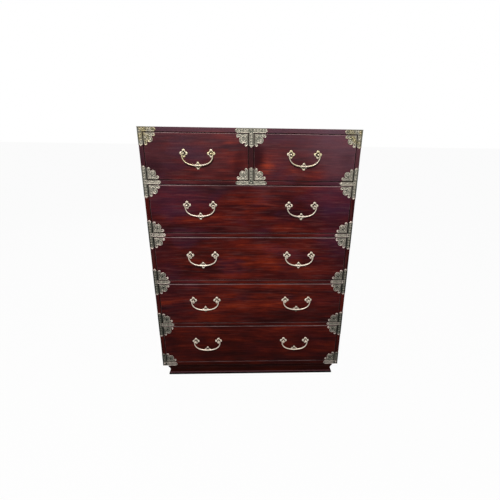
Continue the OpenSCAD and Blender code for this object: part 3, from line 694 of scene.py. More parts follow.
def bead(distance, width):
    return np.sqrt(np.clip(1 - (distance / width) ** 2, 0, 1))


emboss = {"ground": 0.8, "rim": 0.95, "rimIn": 1.35, "rimWidth": 1.35, "line": 0.8, "lineWidth": 1.25,
          "edge": 0.6, "punch": 2.7, "rowPitch": 0.866, "dot": 1.05, "pit": 0.3, "free": 0.35, "full": 0.9,
          "tone": 0.40, "pitDark": 1.3, "backTone": 0.15, "cut": (0.14, 0.86), "sharp": 48}


def embossed(x, z, outline, lines, bosses):
    # Height over the wood and its share between ground and crest
    rim = bead(np.abs(outline + emboss["rimIn"]), emboss["rimWidth"]) * emboss["rim"]
    raised = np.maximum(rim, bead(lineDistance(x, z, lines), emboss["lineWidth"]) * emboss["line"])
    for bossX, bossZ, radius, lift in bosses:
        raised = np.maximum(raised, bead(np.hypot(x - bossX, z - bossZ), radius) * lift)
    # Punched ground: small dots in rows, kept off the rims and scrolls
    pitch = emboss["punch"]
    rows = np.round(z / (pitch * emboss["rowPitch"]))
    across = x - np.where(rows % 2 == 0, 0, pitch / 2)
    dot = np.hypot(across - np.round(across / pitch) * pitch, z - rows * pitch * emboss["rowPitch"])
    pit = np.clip(1 - dot / emboss["dot"], 0, 1) * np.clip(1 - raised / emboss["free"], 0, 1)
    tone = emboss["tone"]
    relief = tone + (1 - tone) * np.clip(raised / emboss["full"], 0, 1)
    relief = relief - tone * emboss["pitDark"] * np.minimum(pit * 2, 1)
    return emboss["ground"] + raised - emboss["pit"] * pit, np.clip(relief, 0, 1)


def gridShell(outlineOf, heightOf, box, step):
    # A plate as points (x, z, height), faces and relief: its top cut from a grid, walls, and a flat back
    x0, z0, x1, z1 = box
    xs = x0 - step * 0.5 + np.arange(math.ceil((x1 - x0) / step) + 2) * step
    zs = z0 - step * 0.5 + np.arange(math.ceil((z1 - z0) / step) + 2) * step
    signed = outlineOf(*np.meshgrid(xs, zs, indexing="ij"))
    signed = np.where(np.abs(signed) < 1e-6, 1e-6, signed)
    points, index, faces, rimNext = [], {}, [], {}

    def gridPoint(i, j):
        if (i, j) not in index:
            index[i, j] = len(points)
            points.append((xs[i], zs[j]))
        return index[i, j]

    def edgePoint(p, q):
        key = (p, q) if p < q else (q, p)
        if key not in index:
            a, b = key
            share = np.clip(signed[a] / (signed[a] - signed[b]), *emboss["cut"])
            index[key] = len(points)
            (ax, az), (bx, bz) = ((xs[i], zs[j]) for i, j in key)
            points.append((ax + (bx - ax) * share, az + (bz - az) * share))
        return index[key]

    for i in range(len(xs) - 1):
        for j in range(len(zs) - 1):
            corners = [(i, j), (i + 1, j), (i + 1, j + 1), (i, j + 1)]
            inside = [signed[c] < 0 for c in corners]
            if not any(inside):
                continue
            loop, crossings = [], []
            for k in range(4):
                after = (k + 1) % 4
                if inside[k]:
                    loop.append(gridPoint(*corners[k]))
                if inside[k] != inside[after]:
                    point = edgePoint(corners[k], corners[after])
                    loop.append(point)
                    crossings.append((point, inside[k]))
            faces.append(loop)
            for k, (point, leaving) in enumerate(crossings):
                if leaving:
                    rimNext[point] = crossings[(k + 1) % len(crossings)][0]
    flat = np.array(points)
    height, relief = heightOf(flat[:, 0], flat[:, 1])
    border = np.array(sorted(rimNext), int)
    height[border] = emboss["edge"]
    low = {point: len(flat) + n for n, point in enumerate(border)}
    faces += [[b, a, low[a], low[b]] for a, b in rimNext.items()]
    left = set(rimNext)
    while left:
        ring = [left.pop()]
        following = rimNext[ring[0]]
        while following != ring[0]:
            ring.append(following)
            left.discard(following)
            following = rimNext[following]
        faces.append([low[p] for p in reversed(ring)])
    back = np.column_stack([flat[border], np.zeros(len(border))])
    shell = np.vstack([np.column_stack([flat, height]), back])
    return shell, faces, np.concatenate([relief, np.full(len(border), emboss["backTone"])])


def around(parts):
    # The box round an outline's boxes and rounds
    boxes = [(p[0] - p[2], p[1] - p[2], p[0] + p[2], p[1] + p[2]) if len(p) == 3 else p for p in parts]
    low, high = np.min(boxes, 0), np.max(boxes, 0)
    return np.round((low[0], low[1], high[2], high[3]), 6)


def embossedShell(parts, lines, bosses, step, toned=None):
    outline = joined(parts)

    def heightOf(x, z):
        height, relief = embossed(x, z, outline(x, z), lines, bosses)
        return height, np.clip(toned(x, z, relief), 0, 1) if toned else relief
    return gridShell(outline, heightOf, around(parts), step)


class Pile:  # collects placed shells into one mesh
    def __init__(self):
        self.points, self.faces, self.relief, self.count = [], [], [], 0

    def add(self, shell, points, flipped=False, relief=None):
        self.points.append(points)
        self.relief.append(shell[2] if relief is None else relief)
        self.faces += [[p + self.count for p in (reversed(f) if flipped else f)] for f in shell[1]]
        self.count += len(points)

    def piece(self, name, material, angle=emboss["sharp"]):
        mesh = newMesh(name, (np.vstack(self.points) * mm).tolist(), self.faces)
        mesh.update()
        layer = mesh.attributes.new("relief", "FLOAT", "POINT")
        layer.data.foreach_set("value", np.concatenate(self.relief).astype(np.float32))
        bm = bmesh.new()
        bm.from_mesh(mesh)
        writeBack(bm, mesh)
        mesh.shade_smooth()
        mesh.set_sharp_from_angle(angle=math.radians(angle))
        return meshObject(name, mesh, material)


def onFront(shell, x, z, flipX=1, flipZ=1):
    u, v, h = shell[0].T
    return np.column_stack([x + flipX * u, frontY - h, z + flipZ * v])


def curl(cx, cz, start, end, angle, turns, steps=22):
    # Spiral line from radius start to radius end
    line = []
    for share in np.arange(steps + 1) / steps:
        radius = start + (end - start) * share ** 0.8
        a = math.radians(angle + 360 * turns * share)
        line.append((cx + radius * math.cos(a), cz + radius * math.sin(a)))
    return line


def curve(*points, steps=10):
    # Smooth line through points
    pts = [points[0], *points, points[-1]]
    line = []
    for a, b, c, d in zip(pts, pts[1:], pts[2:], pts[3:]):
        for t in np.arange(steps) / steps:
            line.append(tuple(0.5 * (2 * q + (r - p) * t + (2 * p - 5 * q + 4 * r - s) * t * t
                                     + (3 * q - p - 3 * r + s) * t ** 3) for p, q, r, s in zip(a, b, c, d)))
    return line + [points[-1]]


def turned(lines):
    return [[(z, x) for x, z in line] for line in lines]


def mirrored(lines, x=1, z=1, shift=0):
    return [[(a * x + shift, b * z) for a, b in line] for line in lines]


def both(lines, x=1, z=1):
    return lines + mirrored(lines, x, z)


pinPlaces = {}
pinDepth = 1.3


def addPins(body, x, z, places, flipX=1, flipZ=1):
    placed = [(x + flipX * u, frontY - pinDepth, z + flipZ * w) for u, w in places]
    pinPlaces.setdefault(body, []).extend(placed)


# Corner plates of the drawers
plate = {"reach": 51.5, "lobe": 14, "hook": 6.5, "notch": 2, "notchRise": 7, "lift": 2.5, "lobeIn": 0.8,
         "inset": 1, "step": 0.8, "boss": (1.9, 1.0), "darkSide": 2.4, "tip": 0.42, "tipLong": 8.5,
         "lobeTip": 0.8, "lobeFrom": 50, "lobeSide": 16, "fade": 5,
         "pins": [(8.5, 8.5), (44.5, 9.0), (9.0, 44.5), (34.5, 34.5)]}

web = plate["reach"] - 2 * plate["hook"] - plate["notch"]
webHigh = 2 * plate["hook"] + plate["notchRise"]
lobeAt = web - plate["lobeIn"] * plate["lobe"]
armEnd = plate["reach"] - plate["hook"]
hookAt = plate["hook"] + plate["lift"]
plateParts = [
    (lobeAt, lobeAt, plate["lobe"]),
    (0, 0, web, webHigh), (0, 0, armEnd, 2 * plate["hook"]), (armEnd, hookAt, plate["hook"]),
    (0, 0, webHigh, web), (0, 0, 2 * plate["hook"], armEnd), (hookAt, armEnd, plate["hook"]),
]
armScrolls = [
    curve((4, 4), (12, 5.2), (24, 6.6), (36, 5.2), (43, 4.6)) + curl(46.2, 8.6, 4.3, 0.9, -115, 1.15, 16),
    curve((17, 6.0), (21, 10.5), (27, 12.2)) + curl(29.8, 14.2, 3.2, 0.8, 215, -0.95, 12),
    curl(13.0, 12.6, 3.3, 0.9, -120, 1.1, 12),
    curve((31, 6.2), (34.5, 9.8), (36.2, 14.5)),
]
lobeScrolls = [
    curve((4, 4), (9, 9.5), (15, 16.0), (18.4, 22.4))
    + curl(lobeAt + 0.8, lobeAt + 0.8, 9.4, 1.4, 205, -1.55, 34),
    curve((18.5, 33.0), (22.5, 36.2), (28.5, 37.2)),
    curve((33.0, 18.5), (36.2, 22.5), (37.2, 28.5)),
]


def plateTone(x, z, relief):
    # Painted shade darkens the sides along the gaps, and the tips of the hooks are bright, partly rubbed
    # brass and partly a painted highlight
    near, far = np.minimum(x, z), np.maximum(x, z)
    tip = np.clip((far - plate["reach"] + plate["tipLong"]) / plate["fade"], 0, 1) * np.clip(near / 6, 0, 1)
    lobe = np.clip((np.hypot(x, z) - plate["lobeFrom"]) / plate["fade"], 0, 1) * (near > plate["lobeSide"])
    bright = np.maximum(tip, plate["lobeTip"] * lobe)
    return relief * np.clip(near / plate["darkSide"], 0.2, 1) + bright * plate["tip"]


plateShell = embossedShell(
    plateParts, armScrolls + turned(armScrolls) + lobeScrolls, [(lobeAt + 4, lobeAt + 4, *plate["boss"])],
    plate["step"], plateTone)

for drawer, (row, left, right, bails) in drawers.items():
    edge = case["frontGap"] + plate["inset"]
    low = case["rowFloors"][row] + edge
    high = case["rowFloors"][row] + case["rowHeights"][row] - edge
    pile = Pile()
    for x, sideways in ((left + edge, 1), (right - edge, -1)):
        for z, upward in ((low, 1), (high, -1)):
            pile.add(plateShell, onFront(plateShell, x, z, sideways, upward), sideways * upward < 0)
            addPins(drawer, x, z, plate["pins"], sideways, upward)
    finish(pile.piece(drawer + "Plates", plateBrass), drawer, "antique_brass", drawer + "_corner_plates")
print("corner plates are on")


# Brackets on the case: strips with round finials, tongues, and wraps round the edges. On the outer ones
# x is 0 at the case's side and more on the wrap round it
bracket = {
    "arm": 78, "stripHalf": 70, "tongue": 80, "centreHalf": 70, "stem": 59, "wrap": 19, "finial": 5.5,
    "thick": 1.2, "tongueRound": 0.42, "eye": 4.1, "footEye": 6.2, "bend": 0.8, "cornerBend": 0.9,
    "step": 0.85, "wave": 25.0, "sway": 3.6, "curl": (3.4, 0.8), "curlIn": 2.3, "curlTurns": 1.25,
    "vineEnd": 8, "boss": (2.6, 1.2), "bigBoss": (3.6, 1.3), "footBoss": (3.4, 1.3), "tongueBoss": 9,
    "tip": 0.36, "tipLong": 8, "fade": 4, "stripDark": 0.10, "darkSide": 2.4, "footLight": 0.16,
    "underDark": 0.20, "pin": 44, "tonguePin": 42, "overPins": (40, -52), "underPins": (38, 34),
}
lid = {"floor": 0.75, "rise": 0.4, "sunk": 1.2}

board, wrap, finial, thick = case["board"], bracket["wrap"], bracket["finial"], bracket["thick"]
boardMid, railMid, footMid, wrapMid = board / 2, case["rail"] / 2, case["bottomRail"] / 2, wrap / 2 + 0.5
armFlat, stripFlat, centreFlat, stemFlat = [
    bracket[key] - finial for key in ("arm", "stripHalf", "centreHalf", "stem")]
railRound, footRound = [bracket["tongueRound"] * case[key] for key in ("rail", "bottomRail")]
pin, vineEnd = bracket["pin"], bracket["vineEnd"]


def vine(length, middle, side, start=3.0):
    # Running scroll along +X about the line z = middle
    wave = bracket["wave"]
    line = [(start + k, middle + side * bracket["sway"] * math.sin(2 * math.pi * (k / wave)))
            for k in range(int(length - start) + 1)]
    curls = []
    half = 0
    while (half + 0.5) * wave / 2 < length - start - 2:
        up = side * (1 if half % 2 == 0 else -1)
        x = start + (half + 0.5) * wave / 2
        centre = middle - up * bracket["curlIn"]
        curls.append(curl(x, centre, *bracket["curl"], 90 * up, bracket["curlTurns"] * up, 14))
        half += 1
    return [line] + curls


def eyes(length, middle, tall, start=4.0):
    # Two ovals in a row with a bar between, for the tongues
    lines = []
    long = (length - start - 8) / 4
    for centre in (start + long, start + 3 * long + 2):
        lines.append([(centre + long * math.cos(a), middle + tall * math.sin(a))
                      for a in np.linspace(0, 2 * math.pi, 30)])
        lines.append(curve((centre - long * 0.5, middle), (centre + long * 0.5, middle), steps=2))
    return lines


def bracketShell(parts, lines, bosses, toned=None):
    # Each finial also has a boss of its own
    finials = [(*part[:2], *bracket["boss"]) for part in parts if part[2:] == (finial,)]
    return embossedShell(parts, lines, bosses + finials, bracket["step"], toned)


def folded(shell, sideways, lift):
    # Maps a flat bracket onto the case: x over 0 turns round the side, height stands off the wood
    bend = bracket["bend"]
    reach = bend * math.pi / 4
    s, z, h = shell[0].T
    angle = np.clip((s + reach) / (2 * reach), 0, 1) * math.pi / 2
    x = halfW - bend + np.minimum(s + reach, 0) + (bend + h) * np.sin(angle)
    y = frontY + bend + np.maximum(s - reach, 0) - (bend + h) * np.cos(angle)
    return np.column_stack([sideways * x, y, z + lift])


def lidShell(x0, x1, lines):
    # Flat plates in the top board: low relief, level with the wood
    parts = [(x0, -thick, x1, wrap)]
    outline = joined(parts)

    def height(x, z):
        rim = bead(np.abs(outline(x, z) + emboss["rimIn"]), emboss["rimWidth"])
        raised = np.maximum(rim, bead(lineDistance(x, z, lines), emboss["lineWidth"]))
        return lid["floor"] + lid["rise"] * raised, raised
    return gridShell(outline, height, around(parts), bracket["step"])


def onTop(shell, x, sideways):
    u, v, h = shell[0].T
    return np.column_stack([x + sideways * u, frontY + v, case["topZ"] - lid["sunk"] + h])


def tipLight(distance, reach):
    return np.clip((distance - reach + bracket["tipLong"]) / bracket["fade"], 0, 1)


def sideTone(x, z, relief):
    # Strips are darker, and darkest beside the gap in painted shade; their round ends and the tips of the
    # tongues are bright, partly rubbed brass and partly a painted highlight
    onStrip = (relief - bracket["stripDark"]) * np.clip((x + board) / bracket["darkSide"], 0.2, 1)
    end = tipLight(np.abs(z), bracket["stripHalf"]) * (x > -board) * (x < 0)
    bright = np.maximum(end, tipLight(-x, bracket["tongue"]))
    return np.where(np.abs(z) < railMid, relief, onStrip) + bracket["tip"] * bright


tongueEnd = railRound - bracket["tongue"]
vineHalf = bracket["stripHalf"] - vineEnd
sideLines = turned(vine(vineHalf, -boardMid, 1, start=0)) + turned(vine(vineHalf, wrapMid, -1, start=0))
sideShell = bracketShell(
    [(-board, -stripFlat, wrap, stripFlat), (-boardMid, stripFlat, finial), (-boardMid, -stripFlat, finial),
     (tongueEnd, -railMid, 1 - board, railMid), (tongueEnd, 0, railRound)],
    both(sideLines, z=-1)
    + mirrored(eyes(bracket["tongue"] - board - 1, 0, bracket["eye"]), x=-1, shift=-board),
    [(bracket["tongueBoss"] - bracket["tongue"], 0, *bracket["boss"])], sideTone)

sidePins = [(-boardMid, pin), (-boardMid, -pin), (-boardMid, 0), (-bracket["tonguePin"], 0)]
for name, sideways in (("leftRailBrackets", -1), ("rightRailBrackets", 1)):
    pile = Pile()
    for row in range(4):
        z = case["rowFloors"][row] - railMid
        pile.add(sideShell, folded(sideShell, sideways, z), sideways < 0)
        addPins("case", sideways * halfW, z, sidePins, sideways)
    finish(pile.piece(name, plateBrass), "case", "antique_brass", "rail_brackets")

# Case corners: at the top a folded L and a plate let into the top board, at the foot a folded L
vineLong = bracket["arm"] - vineEnd - 1
topShell = bracketShell(
    [(-armFlat, -board, bracket["cornerBend"], -thick), (-armFlat, -boardMid, finial),
     (-board, -armFlat, wrap, -thick), (-boardMid, -armFlat, finial)],
    mirrored(vine(vineLong, -boardMid, 1, start=11), x=-1)
    + mirrored(turned(vine(vineLong, -boardMid, -1, start=11) + vine(vineLong, wrapMid, 1)), z=-1),
    [(-boardMid, -boardMid, *bracket["bigBoss"])])


def footTone(x, z, relief):
    # The foot's tongue is painted lighter, standing for the highlights on its rims, and the upright strip
    # darker
    tongue = np.clip((case["bottomRail"] - z) / 3, 0, 1)
    return relief + bracket["footLight"] * tongue - bracket["stripDark"] * (1 - tongue)


footEnd = footRound - bracket["arm"]
footShell = bracketShell(
    [(-board, 0, wrap, armFlat), (-boardMid, armFlat, finial),
     (footEnd, 0, bracket["cornerBend"], case["bottomRail"]), (footEnd, footMid, footRound)],
    turned(vine(vineLong, -boardMid, 1, start=12) + vine(vineLong, wrapMid, -1))
    + mirrored(eyes(bracket["arm"] - board - 2, footMid, bracket["footEye"]), x=-1, shift=-board),
    [(-boardMid, footMid, *bracket["footBoss"])], footTone)
topPlate = lidShell(0, armFlat + thick, vine(bracket["arm"] - vineEnd, wrap / 2, 1))

corners = [(topShell, case["topZ"], [(-boardMid, -pin), (-pin, -boardMid)]),
           (footShell, case["footZ"], [(-boardMid, pin), (-pin, footMid)])]
pile = Pile()
for sideways in (-1, 1):
    for shell, z, pins in corners:
        pile.add(shell, folded(shell, sideways, z), sideways < 0)
        addPins("case", sideways * halfW, z, pins, sideways)
    pile.add(topPlate, onTop(topPlate, sideways * (halfW + thick), -sideways), sideways < 0)
finish(pile.piece("cornerBrackets", plateBrass), "case", "antique_brass", "corner_brackets")

# Brackets over and under the centre divider
overStem = mirrored(turned(vine(bracket["stem"] + board - vineEnd, 0, 1, start=board)), z=-1)
stemEnd = -board - stemFlat
overShell = bracketShell(
    [(-centreFlat, -board, centreFlat, -thick), (-divider, stemEnd, divider, -boardMid),
     (centreFlat, -boardMid, finial), (-centreFlat, -boardMid, finial), (0, stemEnd, finial)],
    both(vine(bracket["centreHalf"] - vineEnd, -boardMid, 1, start=10), x=-1) + overStem,
    [(0, -boardMid, *bracket["bigBoss"])])

underLines = eyes(bracket["centreHalf"] - 2, -railMid, bracket["eye"], start=11)
underEnd = bracket["centreHalf"] - railRound
underShell = bracketShell(
    [(-underEnd, -case["rail"], underEnd, 0), (-divider, -5, divider, stemFlat), (0, stemFlat, finial),
     (underEnd, -railMid, railRound), (-underEnd, -railMid, railRound)],
    both(underLines, x=-1) + turned(vine(bracket["stem"] - vineEnd, 0, 1)),
    [(0, -railMid, *bracket["bigBoss"])],
    lambda x, z, relief: relief - bracket["underDark"])

centreLid = lidShell(-centreFlat, centreFlat, both(vine(centreFlat - 3, wrap / 2, 1), x=-1))
pile = Pile()
pile.add(overShell, onFront(overShell, 0, case["topZ"]))
pile.add(underShell, onFront(underShell, 0, case["rowFloors"][0]))
pile.add(centreLid, onTop(centreLid, 0, 1), True)
finish(pile.piece("centreBrackets", plateBrass), "case", "antique_brass", "rail_brackets")
for z, height, (across, stem) in ((case["topZ"], -boardMid, bracket["overPins"]),
                                  (case["rowFloors"][0], -railMid, bracket["underPins"])):
    addPins("case", 0, z, [(across, height), (-across, height), (0, stem)])
print("brackets are on")


# Small round-headed pins and swept bars, by Geometry Nodes

def withRelief(net, geometry, relief):
    smooth = net.put("GeometryNodeSetShadeSmooth", Geometry=geometry)
    return net.put("GeometryNodeStoreNamedAttribute", {"data_type": "FLOAT", "domain": "POINT"},
                   Geometry=smooth, Name="relief", Value=relief)


def closeTree(net, start, end, geometry):
    real = net.put("GeometryNodeRealizeInstances", None, geometry)
    net.fill(end, {0: net.put("GeometryNodeSetMaterial", Geometry=real, Material=start["Material"])})
    return net.tree


def pinTree():
    inputs = {"Geometry": "Geometry", "Radius": 0.0016, "Rise": 0.6, "Material": "Material"}
    net, start, end = newGroup("Geometry", "pinHeads", inputs, ["Geometry"], "Geometry")
    head = net.put("GeometryNodeMeshUVSphere", Segments=pinHead["segments"], Rings=pinHead["rings"],
                   Radius=start["Radius"])
    squash = net.put("CombineXYZ", None, 1, start["Rise"], 1)
    placed = net.put("GeometryNodeInstanceOnPoints", Points=start["Geometry"],
                     Instance=withRelief(net, head, pinHead["relief"]), Scale=squash)
    return closeTree(net, start, end, placed)


def barTree():
    # A bar swept along the input line, thick as the line's own radius says
    inputs = {"Geometry": "Geometry", "Sides": 20, "Thickness": 1.0, "Material": "Material"}
    net, start, end = newGroup("Geometry", "sweptBar", inputs, ["Geometry"], "Geometry")
    ring = net.put("GeometryNodeCurvePrimitiveCircle", Resolution=start["Sides"], Radius=1.0)
    scale = net.times(net.put("GeometryNodeInputRadius").outputs[0], start["Thickness"])
    sweep = net.put("GeometryNodeCurveToMesh")
    net.fill(sweep.inputs, {
        "Curve": start["Geometry"], "Profile Curve": ring, "Scale": scale, "Fill Caps": True})
    return closeTree(net, start, end, withRelief(net, sweep, bail["relief"]))


def evaluated(source):
    graph = bpy.context.evaluated_depsgraph_get()
    return bpy.data.meshes.new_from_object(source.evaluated_get(graph))


def grown(source, tree, name, material, inputs):
    # Runs a tree on the source and keeps the evaluated result as a plain mesh of its own
    modifier = source.modifiers.new(name, "NODES")
    modifier.node_group = tree
    for item in tree.interface.items_tree:
        if item.item_type == "SOCKET" and item.in_out == "INPUT" and item.name in inputs:
            modifier[item.identifier] = inputs[item.name]
    mesh = evaluated(source)
    mesh.name = name
    bpy.data.objects.remove(source)
    return meshObject(name, mesh, material)


pinHead = {"radius": 0.0017, "rise": 0.55, "relief": 0.8, "segments": 10, "rings": 6}
pinHeads = pinTree()
for body, places in pinPlaces.items():
    points = [tuple(c * mm for c in place) for place in places]
    source = linked(body + "PinPoints", newMesh(body + "Pins", points))
    inputs = {"Radius": pinHead["radius"], "Rise": pinHead["rise"], "Material": plateBrass}
    finish(grown(source, pinHeads, body + "Pins", plateBrass, inputs), body, "antique_brass")
print("pins are in")


# Pulls: rosettes, posts with ball heads, nuts, strike plates and bails. The lists go from the top row down
rosette = {
    "half": 17.2, "lobeX": 11.3, "lobeR": 7.4, "floor": 1.0, "rise": 1.4, "domeIn": 2.3, "recess": 11.6,
    "slope": 1.6, "seat": (5.2, 0.7), "tipX": 13.2, "tip": (2.6, 0.35), "box": 19.5, "step": 0.55,
    # lowLobe, strikeDark, strikeFoot and strikeBoss hold one value per row from the top down: painted shade
    # that darkens the lower parts in the lower rows, standing for the bails' shade and the dim floor seen in
    # the metal
    "crest": 0.76, "tipTone": 0.1, "seatTone": 0.08, "lowLobe": [1, 1, 0.9, 0.7, 0.6], "lobeFrom": -8,
    "strikeSize": 0.9, "strikeDark": [1.1, 1.3, 1.4, 1.6, 1.7], "strikeFoot": [1, 1, 0.9, 0.4, 0.3],
    "footFrom": -6, "strikeBoss": [0.85, 0.75, 0.6, 0.25, 0.15], "sharp": 40,
}
quarters = [(math.cos(a), math.sin(a)) for a in np.arange(4) * math.pi / 2]
lobes = joined([(rosette["lobeX"] * u, rosette["lobeX"] * w, rosette["lobeR"]) for u, w in quarters])


def rosetteOutline(x, z):
    return np.minimum((np.abs(x) + np.abs(z) - rosette["half"]) / math.sqrt(2), lobes(x, z))


def rosetteHeight(x, z):
    # Domed lobes round a sunk diamond, in which the post stands on a low seat
    dome = 1 - (1 - np.clip(-rosetteOutline(x, z) / rosette["domeIn"], 0, 1)) ** 2
    sunk = np.clip((rosette["recess"] - np.abs(x) - np.abs(z)) / rosette["slope"], 0, 1)
    seat = bead(np.hypot(x, z), rosette["seat"][0]) * rosette["seat"][1]
    tips = sum(bead(np.hypot(x - rosette["tipX"] * u, z - rosette["tipX"] * w), rosette["tip"][0])
               for u, w in quarters) * rosette["tip"][1]
    height = rosette["floor"] + dome * rosette["rise"] * (1 - sunk) + np.maximum(seat * sunk, tips)
    relief = rosette["crest"] * (dome - sunk) + rosette["tipTone"] * tips + rosette["seatTone"] * seat
    return height, np.clip(relief, 0, 1)


rosetteBox = (-rosette["box"], -rosette["box"], rosette["box"], rosette["box"])
rosetteShell = gridShell(rosetteOutline, rosetteHeight, rosetteBox, rosette["step"])


def turnedShell(profile, segments, tone):
    # A closed shape turned about the height axis: profile of (radius, height), from bottom to top
    points, faces = [], []
    count = len(profile)
    for k in range(segments):
        a = 2 * math.pi * k / segments
        points += [(r * math.cos(a), r * math.sin(a), h) for r, h in profile]
    for k in range(segments):
        low, high = k * count, (k + 1) % segments * count
        faces += [[low + n, high + n, high + n + 1, low + n + 1] for n in range(count - 1)]
    faces.append([k * count for k in reversed(range(segments))])
    faces.append([k * count + count - 1 for k in range(segments)])
    return np.array(points, float), faces, np.full(len(points), tone)


post = {
    "profile": [(4.4, 1.1), (4.4, 1.9), (4.1, 2.4), (3.4, 2.9), (3.0, 3.7), (2.8, 4.8), (3.0, 5.7),
                (3.75, 6.3), (3.9, 6.8), (3.75, 7.3), (3.15, 7.8), (2.9, 8.5)],
    "ball": 4.4, "ballSteps": 12, "bore": 1.76, "drill": 14, "drillSides": 24, "segments": 36,
    "tone": 0.25, "ballTone": 0.7, "toneFrom": 8.5, "toneOver": 6,
}
neck = post["profile"][-1][0]
ballAngles = np.linspace(math.asin(neck / post["ball"]) + 0.06, math.pi - 0.06, post["ballSteps"])
ballProfile = [(max(post["ball"] * math.sin(a), 0.25), pull["pinOut"] - post["ball"] * math.cos(a))
               for a in ballAngles]


def boredPost():
    points, faces, tone = turnedShell(post["profile"] + ballProfile, post["segments"], post["tone"])
    blank = meshObject("postBlank", newMesh("postBlank", points.tolist(), faces), pullBrass)
    drillMesh = bpy.data.meshes.new("drill")
    bm = bmesh.new()
    across = Matrix.Translation((0, 0, pull["pinOut"])) @ Matrix.Rotation(math.pi / 2, 4, "Y")
    bmesh.ops.create_cone(bm, cap_ends=True, segments=post["drillSides"], radius1=post["bore"],
                          radius2=post["bore"], depth=post["drill"], matrix=across)
    bm.to_mesh(drillMesh)
    bm.free()
    drill = linked("drill", drillMesh)
    cutter = blank.modifiers.new("bore", "BOOLEAN")
    cutter.operation = "DIFFERENCE"
    cutter.solver = "EXACT"
    cutter.object = drill
    result = evaluated(blank)
    points = np.array([v.co for v in result.vertices], float)
    faces = [list(p.vertices) for p in result.polygons]
    bpy.data.objects.remove(blank)
    bpy.data.objects.remove(drill)
    # Painted light and shade: the post darker low down in the rosette's recess, the ball head bright
    ballness = np.clip((points[:, 2] - pull["pinOut"] + post["toneFrom"]) / post["toneOver"], 0, 1)
    return points, faces, post["tone"] + post["ballTone"] * ballness


def inward(shell):
    # Stands a turned shape on the inner face of the drawer front, its height running into the drawer
    points = shell[0].copy()
    points[:, 2] = -nut["wood"] - points[:, 2]
    return points, shell[1], shell[2]


nut = {"radius": 5.5, "tall": 4.0, "chamfer": 0.6, "shank": 2.4, "beyond": 3.0, "wood": 21.0,
       "tone": 0.6, "endTone": 0.5}
face, rise = nut["radius"] - nut["chamfer"], nut["chamfer"] * 0.6
nutProfile = [(face, 0), (nut["radius"], rise), (nut["radius"], nut["tall"] - rise), (face, nut["tall"])]
endTop = nut["tall"] + nut["beyond"]
endProfile = [(nut["shank"], nut["tall"] - 1), (nut["shank"], endTop - nut["chamfer"]),
              (nut["shank"] - nut["chamfer"], endTop)]
strikeProfile = [(4.0, 1.2), (4.0, 1.9), (3.5, 2.5), (2.4, 3.0), (1.0, 3.3), (0.3, 3.35)]
postShell = boredPost()
nutShell = inward(turnedShell(nutProfile, 6, nut["tone"]))
endShell = inward(turnedShell(endProfile, 16, nut["endTone"]))

shell, faces, relief = rosetteShell
strikePlate = (shell * (rosette["strikeSize"], rosette["strikeSize"], 1), faces, relief)
for drawer, (row, left, right, bails) in drawers.items():
    pile = Pile()
    z = pinZ(row)
    # Painted shade in the lower rows: the rosettes' lower lobes, the strike plates, their feet and their
    # bosses darker
    strikeBoss = turnedShell(strikeProfile, 24, rosette["strikeBoss"][row])
    lowLobe = relief * np.where(shell[:, 1] < rosette["lobeFrom"], rosette["lowLobe"][row], 1)
    foot = np.where(strikePlate[0][:, 1] < rosette["footFrom"], rosette["strikeFoot"][row], 1)
    strikeTone = relief ** rosette["strikeDark"][row] * foot
    for bailName, middle in bails:
        for side in (-1, 1):
            x = middle + side * pull["postHalf"]
            pile.add(rosetteShell, onFront(rosetteShell, x, z), relief=lowLobe)
            pile.add(postShell, onFront(postShell, x, z))
            pile.add(nutShell, onFront(nutShell, x, z), True)
            pile.add(endShell, onFront(endShell, x, z), True)
        strikeZ = z - pull["strikeDrop"]
        pile.add(strikePlate, onFront(strikePlate, middle, strikeZ), relief=strikeTone)
        pile.add(strikeBoss, onFront(strikeBoss, middle, strikeZ))
    mounts = pile.piece(drawer + "Mounts", pullBrass, rosette["sharp"])
    finish(mounts, drawer, "pale_brass", drawer + "_pull_mounts")
print("pull mounts are on")

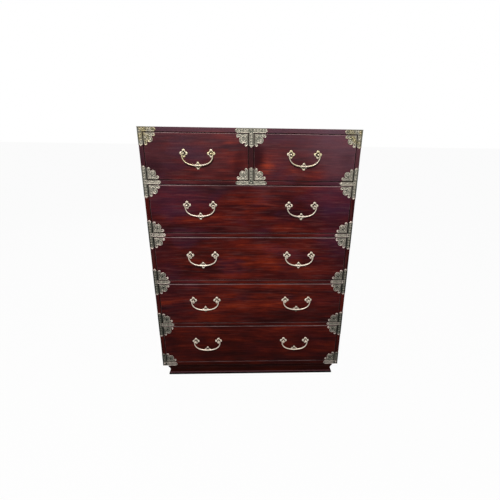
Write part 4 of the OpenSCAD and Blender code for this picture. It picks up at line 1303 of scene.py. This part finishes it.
bail = {"start": 64.4, "elbow": 2.9, "half": 67.3, "bow": 2.4, "pin": 1.7, "pinFrom": 56.5, "chamfer": 0.35,
        "end": 2.3, "arm": 2.4, "middle": 3.2, "neck": 0.12, "shoulder": 0.25, "sides": 20, "steps": 28,
        "relief": 0.72, "sharp": 50}


def bailRadius(z):
    drop = min(1, -z / pull["drop"])
    end, arm, middle = bail["end"], bail["arm"], bail["middle"]
    return end + (arm - end) * min(1, drop * 8) + (middle - arm) * drop ** 3


def bailLine():
    # Points (x, z, radius) of the right half's pin, elbow and bow, then mirrored
    start, pin, pinFrom, elbow = (bail[key] for key in ("start", "pin", "pinFrom", "elbow"))
    power = 2 / bail["bow"]
    chamfer, shoulder, end = bail["chamfer"], bail["shoulder"], bail["end"]
    line = [(pinFrom, 0, pin - chamfer), (pinFrom + chamfer, 0, pin), (start - bail["neck"], 0, pin),
            (start, 0, end - shoulder), (start + shoulder, 0, end)]
    bow = [(start + elbow * math.sin(a), -elbow * (1 - math.cos(a)))
           for a in np.linspace(0.22, math.pi / 2, 5)[:-1]]
    for a in np.linspace(0, math.pi / 2, bail["steps"] + 1):
        x = bail["half"] * max(math.cos(a), 0) ** power
        bow.append((x, -elbow - (pull["drop"] - elbow) * math.sin(a) ** power))
    line += [(x, z, bailRadius(z)) for x, z in bow]
    return line + [(-x, z, radius) for x, z, radius in reversed(line[:-1])]


sweptBar = barTree()
line = bailLine()
for drawer, (row, left, right, bails) in drawers.items():
    for bailName, middle in bails:
        path = bpy.data.curves.new(bailName + "Line", "CURVE")
        path.dimensions = "3D"
        spline = path.splines.new("POLY")
        spline.points.add(len(line) - 1)
        for point, (x, z, radius) in zip(spline.points, line):
            point.co = ((middle + x) * mm, (frontY - pull["pinOut"]) * mm, (pinZ(row) + z) * mm, 1)
            point.radius = radius * mm
        inputs = {"Sides": bail["sides"], "Thickness": 1.0, "Material": pullBrass}
        piece = grown(linked(bailName + "Line", path), sweptBar, bailName + "Bar", pullBrass, inputs)
        bpy.data.curves.remove(path)
        piece.data.set_sharp_from_angle(angle=math.radians(bail["sharp"]))
        finish(piece, bailName, "pale_brass", bailName)
print("bails are hung")
